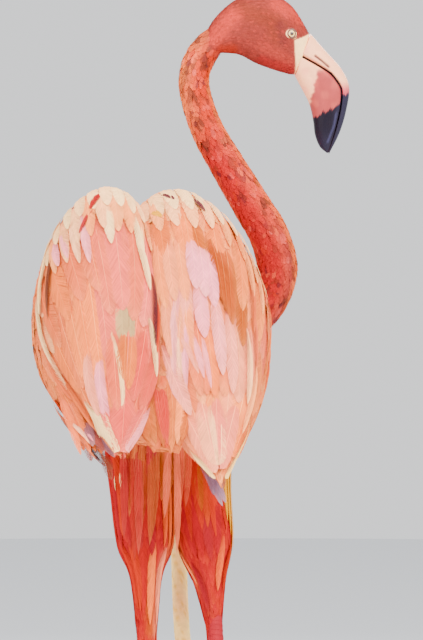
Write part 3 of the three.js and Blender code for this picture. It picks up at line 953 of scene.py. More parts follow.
# ---------------------------------------------------------------- skin
@dataclass
class Skin:
    """One skin for all the flesh, lying inside the forms by the depth of the coat over each."""

    body_voxel: float = 3.0
    head_voxel: float = 1.1
    leg_voxel: float = 1.5
    wing_coat: float = 6.5
    trunk_coat: float = 6.5
    tail_coat: float = 9.0
    neck_coat: float = 2.0
    head_coat: float = 0.7
    thigh_coat: float = 3.5
    lid_long: float = 4.7
    lid_high: float = 3.7
    lid_out: float = 4.0
    lid_thick: float = 1.15
    markers: list[tuple[Region, Form]] = field(default_factory=list)

    def __post_init__(self) -> None:
        """Lists the forms by which each place on the skin knows its region."""
        self.markers = [(Region.BODY, TRUNK), (Region.BODY, TAIL), (Region.NECK, NECK), (Region.HEAD, HEAD)]
        for side in Side:
            self.markers += [(Region.BODY, WINGS[side]), (Region.THIGH, THIGHS[side])]
            self.markers += [(Region.LEG, form) for form in (SHANKS[side], ANKLES[side], TARSI[side])]
            self.markers += [(Region.LEG, FEET[side].toe(*toe)) for toe in FEET[side].toes]
            self.markers += [(Region.LEG, FEET[side].hallux())]

    def remeshed(self, name: str, parts: list[Pair], voxel: float, rounds: int) -> Object:
        """Joins overlapping shells into one closed surface.

        Args:
            name: The object's name.
            parts: The shells.
            voxel: The size of the new faces, in millimetres.
            rounds: How often the result is relaxed.

        Returns:
            The object.
        """
        made = piece(name, mesh_from(name, *joined(parts)))
        remesh = made.modifiers.new("remesh", "REMESH")
        remesh.mode = "VOXEL"
        remesh.voxel_size = voxel * MM
        mesh = applied(made)
        relaxed(mesh, rounds)
        return piece(name, mesh)

    def lid(self, sign: int) -> Pair:
        """The fleshy ring round one eye.

        Args:
            sign: The side of the head's middle plane, +1 towards +Y.

        Returns:
            The points and faces of a ring a little longer than high.
        """
        around, section = 24, 8
        turn = np.linspace(0, 1, around + 1)[:-1] * 2 * np.pi
        x = EYE_PLACE[0] + self.lid_long * np.cos(turn)
        z = EYE_PLACE[1] + self.lid_high * np.sin(turn)
        y = HEAD_Y + sign * (EYE_STAND + self.lid_out - 0.1 * np.abs(self.lid_long * np.cos(turn)))
        centre = np.stack([x, y, z], -1)
        outward = unit(np.stack([np.cos(turn), 0 * turn, np.sin(turn)], -1))
        sweep = np.arange(section) / section * 2 * np.pi
        sideways = np.array([0, sign, 0])
        ring = np.cos(sweep)[None, :, None] * outward[:, None] + np.sin(sweep)[None, :, None] * sideways
        ring = centre[:, None] + self.lid_thick * ring
        i, j = (g.ravel() for g in np.meshgrid(np.arange(around), np.arange(section), indexing="ij"))
        row, after, beside = i * section, (i + 1) % around * section, (j + 1) % section
        faces = np.stack([row + j, after + j, after + beside, row + beside], -1)
        return ring.reshape(-1, 3), faces if sign < 0 else faces_turned(faces)

    def build(self) -> Object:
        """The skin, coloured as the coat over it is.

        Returns:
            The finished piece.
        """
        torso = [
            TRUNK.shell(64, 72, self.trunk_coat), TAIL.shell(32, 24, self.tail_coat),
            NECK.shell(40, 160, self.neck_coat, crowd=False),
        ]
        torso += [WINGS[side].shell(64, 80, self.wing_coat) for side in Side]
        torso += [THIGHS[side].shell(40, 60, self.thigh_coat) for side in Side]
        face = [HEAD.shell(64, 64, self.head_coat), self.lid(1), self.lid(-1)]
        legs = []
        for side in Side:
            legs += [SHANKS[side].shell(24, 40), ANKLES[side].shell(28, 24), TARSI[side].shell(24, 90)]
            foot = FEET[side]
            legs += [foot.toe(*toe).shell(20, 40) for toe in foot.toes] + [foot.hallux().shell(16, 16)]
            legs += [foot.web(name, length) for name, length in foot.toes[1:]]
        whole = self.remeshed("skin", torso, self.body_voxel, 4)
        for name, parts, voxel, rounds in (
            ("skin_head", face, self.head_voxel, 3), ("skin_legs", legs, self.leg_voxel, 2)
        ):
            extra = self.remeshed(name, parts, voxel, rounds)
            union = whole.modifiers.new("join", "BOOLEAN")
            union.operation, union.solver, union.object = "UNION", "MANIFOLD", extra
            whole = piece("skin", applied(whole))
            bpy.data.objects.remove(extra)
        mesh = whole.data
        flat = places(mesh)
        flat[:, 2] = np.maximum(flat[:, 2], 0)
        mesh.vertices.foreach_set("co", (flat * MM).astype(np.float32).ravel())
        mesh.materials.clear()
        smooth(mesh)
        self.dress(mesh)
        return whole

    def dress(self, mesh: Mesh) -> None:
        """Paints each vertex by the form that it lies nearest to."""
        spots, regions, ts = [], [], []
        for region, form in self.markers:
            u, t = (g.ravel() for g in np.meshgrid(np.arange(20) / 20, np.linspace(0, 1, 48), indexing="ij"))
            spots.append(form.point(u, t))
            regions += [region] * len(u)
            ts.append(t)
        spots, ts = np.concatenate(spots), np.concatenate(ts)
        tree = KDTree(len(spots))
        for i, spot in enumerate(spots):
            tree.insert(spot, i)
        tree.balance()
        p = places(mesh)
        nearest = np.array([tree.find(q)[1] for q in p])
        region_of = np.array([regions[i].value for i in nearest])
        colours = np.zeros_like(p)
        for region in Region:
            here = region_of == region.value
            if here.any():
                colours[here] = MARKINGS.paint(region, p[here], ts[nearest[here]])
        coloured(mesh, colours)


# ---------------------------------------------------------------- coat
class Chart:
    """A form's surface sampled once, so that feathers can be laid on it quickly."""

    def __init__(
        self, form: Form, around: int = 200, down: int = 320, low: float = -0.03, high: float = 1.1
    ) -> None:
        """Samples places, outward directions and the two ways along the surface."""
        self.low, self.high, self.around, self.down = low, high, around, down
        t = np.linspace(low, high, down)
        u = np.arange(around) / around
        p = form.point(np.tile(u, (down, 1)), np.tile(t[:, None], (1, around)))
        pu = (np.roll(p, -1, 1) - np.roll(p, 1, 1)) * around / 2
        pt = np.gradient(p, t, axis=0)
        normal = unit(np.cross(pt, pu))
        normal *= np.sign(np.sum(normal * (p - p.mean(1, keepdims=True))))
        self.table = np.concatenate([p, normal, pu, pt], -1).reshape(-1, 12)
        stride = np.linalg.norm(np.diff(p, axis=0), axis=2)
        self.travelled = np.concatenate([np.zeros((1, around)), np.cumsum(stride, axis=0)])

    def look(self, u: Array, t: Array, columns: slice = slice(0, 6)) -> Array:
        """Reads the samples between their places."""
        x = (u % 1) * self.around
        y = np.clip((t - self.low) / (self.high - self.low), 0, 1) * (self.down - 1)
        i = x.astype(int) % self.around
        j = np.minimum(y.astype(int), self.down - 2)
        fx, fy = (x - x.astype(int))[..., None], (y - j)[..., None]
        k = (i + 1) % self.around
        table = self.table[:, columns]
        top = table[j * self.around + i] * (1 - fx) + table[j * self.around + k] * fx
        base = table[(j + 1) * self.around + i] * (1 - fx) + table[(j + 1) * self.around + k] * fx
        return top * (1 - fy) + base * fy

    def left(self, u: Array, t: Array, end: float) -> Array:
        """The distance along the form from (u, t) to its end, in millimetres."""
        column = np.rint((u % 1) * self.around).astype(int) % self.around
        row, last = (
            (np.clip(v, self.low, self.high) - self.low) / (self.high - self.low) * (self.down - 1)
            for v in (t, end)
        )
        i = np.minimum(row.astype(int), self.down - 2)
        start = self.travelled[i, column] * (1 - row + i) + self.travelled[i + 1, column] * (row - i)
        return self.travelled[int(last), column] - start

    def rows(
        self, span: tuple[float, float], pitch: tuple[float, ...], across: tuple[float, ...], rng: Random
    ) -> Pair:
        """Staggered places for roots.

        Args:
            span: The stretch of t to cover.
            pitch: Distance between rows along the span, in millimetres.
            across: Distance between neighbours in a row along the span.
            rng: The seeded source of the small unevenness.

        Returns:
            The u and t of each root.
        """
        ring = np.arange(self.around + 1) / self.around
        t, i, us, ts = span[0], 0, [], []
        while t < span[1]:
            share = np.array((t - span[0]) / (span[1] - span[0]))
            here = self.look(ring, np.full(ring.shape, t), slice(0, 12))
            arc = np.concatenate([[0], np.cumsum(np.linalg.norm(np.diff(here[:, :3], axis=0), axis=1))])
            count = max(5, round(arc[-1] / float(along(across, share))))
            jitter = rng.uniform(-0.22, 0.22, count)
            us.append(np.interp((np.arange(count) + 0.5 * (i % 2) + jitter) / count % 1 * arc[-1], arc, ring))
            step = float(along(pitch, share)) / np.linalg.norm(here[:, 9:12], axis=1).mean()
            ts.append(t + rng.uniform(-0.3, 0.3, count) * step)
            t, i = t + step, i + 1
        return np.concatenate(us), np.concatenate(ts)


def steps(pu: Array, pt: Array, way: Array) -> Pair:
    """How u and t change over a millimetre along a way, given how places change with u and with t."""
    a, b, c = dot(pu, pu), dot(pu, pt), dot(pt, pt)
    det = np.maximum(a * c - b * b, 1e-9)
    x, y = dot(pu, way), dot(pt, way)
    return ((c * x - b * y) / det)[..., 0], ((a * y - b * x) / det)[..., 0]


@dataclass(frozen=True)
class Vane:
    """A feather's outline and barbs, as shares of its length and half its width.

    Its tip is round where `pointed` is 0.5, and comes to a point where it is 1.
    """

    barbs: int
    root: float = 0.08
    widest: float = 0.6
    slant: float = 0.3
    gap: float = 0.22
    shaft: bool = False
    pointed: float = 0.5

    def outline(self, s: Array) -> Array:
        """Half the width at s, 1 where the vane is widest."""
        rise = np.sin(np.pi / 2 * np.clip(s / self.widest, 0, 1)) ** 0.7
        fall = np.clip(1 - (np.clip(s - self.widest, 0, 1) / (1 - self.widest)) ** 2.2, 0, 1) ** self.pointed
        return rise * fall

    def template(self) -> dict[str, Array]:
        """The vane's corners and faces.

        Returns:
            s, x and edge (1 on a barb's forward edge) for each vertex, the barb each belongs to, and
            the faces.
        """
        k = np.arange(self.barbs + 1) / self.barbs
        margin = self.root + (1 - self.root) * (1 - (1 - k) ** 1.3)
        width = self.outline(margin)
        base = np.maximum.accumulate(np.clip(margin - self.slant * width, 0.6 * self.root, 1))
        near, far = margin[:-1], margin[:-1] + (1 - self.gap) * np.diff(margin)
        s, x, edge, barb, faces = [], [], [], [], []
        for sign in (1, -1):
            corner_s = np.stack([base[:-1], base[1:], far, near], -1)
            corner_x = sign * np.stack([0 * near, 0 * near, self.outline(far), self.outline(near)], -1)
            start = len(s) * corner_s.size
            s.append(corner_s.ravel())
            x.append(corner_x.ravel())
            edge.append(np.tile([0.0, 1.0, 1.0, 0.0], self.barbs))
            barb.append(np.repeat(np.arange(self.barbs) + (self.barbs if sign < 0 else 0), 4))
            quads = start + np.arange(corner_s.size).reshape(-1, 4)
            faces.append(quads if sign > 0 else quads[:, ::-1])
        quill = np.zeros(len(s) * self.barbs * 4)
        if self.shaft:
            at = np.linspace(0, 0.94, 8)
            half = 0.05 * (1 - 0.75 * at)
            start = len(quill)
            s.append(np.repeat(at, 2))
            x.append(np.stack([-half, half], -1).ravel())
            edge.append(np.zeros(16))
            barb.append(np.zeros(16, int))
            i = start + 2 * np.arange(7)
            faces.append(np.stack([i, i + 2, i + 3, i + 1], -1))
            quill = np.concatenate([quill, np.ones(16)])
        return {
            "s": np.concatenate(s), "x": np.concatenate(x), "edge": np.concatenate(edge),
            "barb": np.concatenate(barb), "quill": quill, "faces": np.concatenate(faces),
        }


class Flow(Enum):
    """Which way along its form a feather points from its root."""

    ON = 1
    BACK = -1


@dataclass(frozen=True)
class Tints:
    """The hues that single feathers lean to, and how far."""

    colours: tuple[str, ...]
    share: float
    # down: what each feather's base turns to, both its downy colour and painted shade under the feather above
    down: str = Hue.BRICK
    rim: str = Hue.CREAM
    rim_share: float = 0.25
    few: float = 1.0


@dataclass(frozen=True)
class Tract:
    """One kind of feather laid in rows over a stretch of a form. Sizes are in millimetres."""

    span: tuple[float, float]
    pitch: tuple[float, ...]
    across: tuple[float, ...]
    length: tuple[float, ...]
    width: tuple[float, ...]
    vane: Vane
    tints: Tints
    depth: float
    flow: Flow = Flow.ON
    over: float = 0.0
    wander: float = 0.09
    barb_lift: float = 0.12
    patch: float = 0.003
    detail: float = 0.0
    stations: int = 7
    window: tuple[float, float] = (0.0, 1.0)
    end: float = 1.0
    ragged: float = 4.0
    tuck: float = 0.0
    emerge: float = 1.3


Placer = Callable[[Array, Array, Array], tuple[Array, Array, Array]]


@dataclass(frozen=True)
class Fan:
    """Long feathers side by side that stand out from the coat in colours of their own.

    The first and the last one are given by root and tip, each across and along the form; the rest are
    spaced between them. Free ones hang clear of the form, and theirs are places in millimetres. The width
    is in millimetres.
    """

    colours: tuple[str, ...]
    width: float
    first: tuple[Spot, Spot] | tuple[Place, Place]
    last: tuple[Spot, Spot] | tuple[Place, Place] | None = None
    count: int = 1
    free: bool = False


@dataclass
class Plumes:
    """Feathers as arrays: places in millimetres, faces, sRGB colours and the bake map."""

    points: Array
    faces: Array
    colours: Array
    uv: Array


@dataclass
class Coat:
    """The feathers over one form, in tracts that overlap like tiles."""

    name: str
    form: Form
    region: Region
    slot: str
    finish: Surface
    tracts: tuple[Tract, ...]
    fans: tuple[Fan, ...] = ()
    fan_kind: "Tract | None" = None
    keep: "Callable[[Array], Array] | None" = None
    cover: float = 5.0
    low: float = -0.03

    def build(self, skin: BVHTree, seed: int) -> Object:
        """Lays every tract and joins them into one piece.

        Args:
            skin: The skin, for telling which roots lie on it and which are buried.
            seed: For the unevenness of the feathers.

        Returns:
            The finished piece.
        """
        rng = np.random.default_rng(SEED + seed)
        chart = Chart(self.form, low=self.low, high=1.2)
        laid = [self.lay(tract, chart, skin, rng) for tract in self.tracts]
        laid += [self.fanned(fan, i, chart, rng) for i, fan in enumerate(self.fans)]
        points, faces = joined([(p.points, p.faces) for p in laid])
        mesh = mesh_from(self.name, points, faces)
        coloured(mesh, np.concatenate([p.colours for p in laid]))
        uv = np.concatenate([p.uv for p in laid])
        layer = mesh.uv_layers.new(name="OFBake")
        layer.uv.foreach_set("vector", uv[faces.ravel()].astype(np.float32).ravel())
        mesh.materials.append(self.finish.material())
        made = piece(self.name, mesh)
        log.info("%s: %d feathers' faces, %d triangles", self.name, len(faces), 2 * len(faces))
        return made

    def rooted(self, tract: Tract, chart: Chart, skin: BVHTree, rng: Random) -> Pair:
        """The roots of a tract that lie on the skin and in the part of the form that has feathers."""
        u, t = chart.rows(tract.span, tract.pitch, tract.across, rng)
        seen = chart.look(u, t)
        root = seen[:, :3] - tract.depth * seen[:, 3:]
        near = np.array([(skin.find_nearest(Vector(p * MM))[3] or 1.0) / MM for p in root])
        good = (near < self.cover) & (u >= tract.window[0]) & (u <= tract.window[1])
        if self.keep is not None:
            good &= self.keep(seen[:, :3])
        return u[good], t[good]

    def lay(self, tract: Tract, chart: Chart, skin: BVHTree, rng: Random) -> Plumes:
        """The feathers of one tract, each draped along the surface from its root.

        Args:
            tract: The kind of feather and where it grows.
            chart: The sampled form.
            skin: The skin under it.
            rng: The seeded source of unevenness.

        Returns:
            The feathers.
        """
        u, t = self.rooted(tract, chart, skin, rng)
        count = len(u)
        share = np.clip((t - tract.span[0]) / (tract.span[1] - tract.span[0]), 0, 1)
        length = along(tract.length, share) * rng.uniform(0.86, 1.12, count)
        if tract.flow is Flow.ON:
            length = np.minimum(
                length, chart.left(u, t, tract.end) + tract.ragged * rng.uniform(-1, 0.4, count)
            )
        length = np.maximum(length, 4.0)
        half = np.minimum(along(tract.width, share) * rng.uniform(0.88, 1.1, count) / 2, 0.45 * length)
        track = self.drape(u, t, length, rng.normal(0, tract.wander, count), tract, chart)
        return self.vaned(self.on_form(track, chart), np.stack([u, t], -1), half, tract, rng)

    def fanned(self, fan: Fan, order: int, chart: Chart, rng: Random) -> Plumes:
        """The feathers of one fan, each on an even run over the form from its root to its tip.

        Args:
            fan: Which feathers.
            order: The fan's place among the others; later ones lie higher.
            chart: The sampled form.
            rng: The seeded source of unevenness.

        Returns:
            The feathers.
        """
        kind = replace(self.fan_kind, over=self.fan_kind.over + 0.12 * order)
        hues = np.array([shade(c) for c in fan.colours])
        pick = rng.integers(0, len(hues), fan.count)
        own = mix(hues[pick], hues[(pick + 1) % len(hues)], 0.5 * rng.random(fan.count))
        own = own * rng.normal(1, 0.012, (fan.count, 1))
        ends = np.array([*fan.first, *(fan.last or fan.first)], float)
        if not fan.free:
            ends[:, 0] = self.form.turned(ends[:, 0])
        share = (np.arange(fan.count) / max(fan.count - 1, 1))[:, None]
        stretch = rng.uniform(*((-0.3, 0.15) if fan.free else (-0.08, 0.03)), (fan.count, 1))
        stretch = stretch * (fan.count > 1)
        root, tip = (ends[i] + (ends[i + 2] - ends[i]) * share for i in (0, 1))
        tip = tip + (tip - root) * stretch + fan.free * rng.normal(0, 3, tip.shape)
        s = np.linspace(0, 1, kind.stations)
        if fan.free:
            place = self.in_space(root, tip, s)
            length = np.linalg.norm(tip - root, axis=1)
            root = np.stack([0.5 + 0.1 * share[:, 0], 0.9 - 0.1 * share[:, 0]], -1)
        else:
            u, t = (root[:, k, None] + (tip - root)[:, k, None] * s for k in (0, 1))
            here = chart.look(u, t, slice(3, 12))
            normal, pu, pt = unit(here[..., :3]), here[..., 3:6], here[..., 6:]
            way = (tip - root)[:, None]
            aside = np.cross(normal, unit(pu * way[..., :1] + pt * way[..., 1:]))
            place = self.on_form([u, t, *steps(pu, pt, aside)], chart)
            length = np.linalg.norm(np.diff(chart.look(u, t, slice(0, 3)), axis=1), axis=2).sum(1)
        half = np.minimum(fan.width / 2 * rng.uniform(0.92, 1.08, fan.count), 0.42 * length)
        return self.vaned(place, root, half, kind, rng, own)

    def on_form(self, track: list[Array], chart: Chart) -> Placer:
        """Gives places on the form along shafts; a track is u, t and their change a millimetre aside."""

        def place(k: Array, f: Array, sideways: Array) -> tuple[Array, Array, Array]:
            u, t, du, dt = (line[:, k] * (1 - f) + line[:, k + 1] * f for line in track)
            seen = chart.look(u + sideways * du, t + sideways * dt)
            return seen[..., :3], seen[..., 3:], t

        return place

    def in_space(self, root: Array, tip: Array, s: Array) -> Placer:
        """Gives places along shafts that bow a little backwards between their ends, clear of the form."""
        heading = unit(tip - root)
        outward = np.array([0.0, 1.0, 0.15])
        normal = unit(outward - dot(heading, outward) * heading)
        aside = np.cross(normal, heading)
        bow = 0.06 * np.linalg.norm(tip - root, axis=1)[:, None, None] * (4 * s * (1 - s))[:, None]
        line = root[:, None] + (tip - root)[:, None] * s[:, None] + normal[:, None] * bow

        def place(k: Array, f: Array, sideways: Array) -> tuple[Array, Array, Array]:
            at = line[:, k] * (1 - f)[:, None] + line[:, k + 1] * f[:, None]
            at = at + aside[:, None] * sideways[..., None]
            return at, np.broadcast_to(normal[:, None], at.shape), np.zeros(sideways.shape)

        return place

    def vaned(
        self, place: Placer, root: Array, half: Array, tract: Tract, rng: Random,
        own: Array | None = None,
    ) -> Plumes:
        """The vanes along shafts that are laid already.

        Args:
            place: Gives the places along the shafts.
            root: The u and t where each shaft starts, for the bake map.
            half: Half of each feather's width.
            tract: The kind of feather.
            rng: The seeded source of unevenness.
            own: The feathers' own colours, or None where the markings give them.

        Returns:
            The feathers.
        """
        count = len(half)
        shape = tract.vane.template()
        s, x = shape["s"], shape["x"]
        at = s * (tract.stations - 1)
        k = np.minimum(at.astype(int), tract.stations - 2)
        notch = 1 - 0.16 * rng.random((count, 2 * tract.vane.barbs))[:, shape["barb"]] * (np.abs(x) > 0.1)
        sideways = x * notch * half[:, None]
        spot, outward, tt = place(k, at - k, sideways)
        roll = rng.normal(0, 0.05, (count, 1))
        layer = rng.uniform(-0.5, 0.5, (count, 1)) * min(1.0, 0.12 * tract.depth)
        height = -tract.depth * (1 - s) ** tract.emerge + tract.over + layer + roll * sideways
        height = height - 0.10 * sideways**2 / np.maximum(half[:, None], 1e-6)
        height = height - tract.tuck * ramp(s, 0.7, 1.0) + tract.barb_lift * (0.5 - shape["edge"])
        height = height + 0.5 * tract.barb_lift * (1 + 2 * shape["quill"])
        points = spot + outward * height[..., None]
        colours = self.tinted(points, tt, shape, tract, rng, own)
        patch = tract.patch * np.stack(
            [np.broadcast_to(x / 2, height.shape), np.broadcast_to(s - 0.5, height.shape)], -1
        )
        centre = 0.02 + 0.96 * np.stack([root[:, 0] % 1, np.clip(root[:, 1], 0, 1)], -1)
        faces = (np.arange(count)[:, None, None] * len(s) + shape["faces"]).reshape(-1, 4)
        return Plumes(
            points.reshape(-1, 3), faces, colours.reshape(-1, 3), (centre[:, None] + patch).reshape(-1, 2)
        )

    def drape(
        self, u: Array, t: Array, length: Array, angle: Array, tract: Tract, chart: Chart
    ) -> list[Array]:
        """Walks each feather's shaft over the surface.

        Args:
            u: The roots' u.
            t: The roots' t.
            length: Each feather's length.
            angle: Its turn away from the flow of the form.
            tract: The kind of feather.
            chart: The sampled form.

        Returns:
            u, t and the change of u and of t for a millimetre sideways, at each station.
        """
        lines: list[list[Array]] = [[], [], [], []]
        stride = length / (tract.stations - 1)
        cos, sin = (f(angle)[:, None] for f in (np.cos, np.sin))
        for _ in range(tract.stations):
            here = chart.look(u, t, slice(3, 12))
            normal, pu, pt = unit(here[:, :3]), here[:, 3:6], here[:, 6:]
            ahead = unit(pt) * tract.flow.value
            heading = cos * ahead + sin * np.cross(normal, ahead)
            aside = np.cross(normal, heading)
            for line, value in zip(lines, (u, t, *steps(pu, pt, aside))):
                line.append(value)
            along_u, along_t = steps(pu, pt, heading)
            u, t = u + stride * along_u, t + stride * along_t
        return [np.stack(line, -1) for line in lines]

    def tinted(
        self, points: Array, t: Array, shape: dict[str, Array], tract: Tract, rng: Random,
        own: Array | None,
    ) -> Array:
        """The colour of every vertex: markings or the feather's own, its tint, a base darkened towards the
        down colour, which is both downy colour and painted shade, barb edges a little darker as painted
        shade, and a pale rim.
        """
        tints, count = tract.tints, len(points)
        middle = points[:, np.abs(shape["s"] - 0.65) < 0.12].mean(1)
        t_middle = t[:, np.abs(shape["s"] - 0.65) < 0.12].mean(1)
        if own is None:
            own = MARKINGS.paint(self.region, middle, t_middle)
            lean = np.array([shade(c) for c in tints.colours])[rng.integers(0, len(tints.colours), count)]
            own = mix(own, lean, tints.share * rng.random(count) ** 0.7 * (rng.random(count) < tints.few))
        colours = np.broadcast_to(own[:, None], points.shape)
        if tract.detail:
            colours = mix(
                colours, MARKINGS.paint(self.region, points, t), np.full(points.shape[:2], tract.detail)
            )
        s, x = shape["s"], np.abs(shape["x"]) / np.maximum(tract.vane.outline(shape["s"]), 0.05)
        # The base turns towards the down colour: downy colour and painted shade where the feather above
        # covers it.
        colours = mix(
            colours, shade(tints.down), np.broadcast_to(0.4 * (1 - ramp(s, 0.05, 0.4)), points.shape[:2])
        )
        rim = np.clip(ramp(np.clip(x, 0, 1), 0.6, 1.0) * 0.7 + ramp(s, 0.8, 1.0), 0, 1)
        rim = rim * (shape["quill"] < 0.5)
        colours = mix(colours, shade(tints.rim), tints.rim_share * rng.uniform(0.3, 1.2, (count, 1)) * rim)
        barb = 1 + rng.normal(0, 0.035, (count, 2 * tract.vane.barbs))[:, shape["barb"]]
        colours = mix(colours, shade(Hue.CREAM), np.broadcast_to(0.28 * shape["quill"], points.shape[:2]))
        # Painted shade: each barb's forward edge, tucked under the next barb, is 6% darker.
        return np.clip(colours * (barb * (1 - 0.06 * shape["edge"]))[..., None], 0, 1)


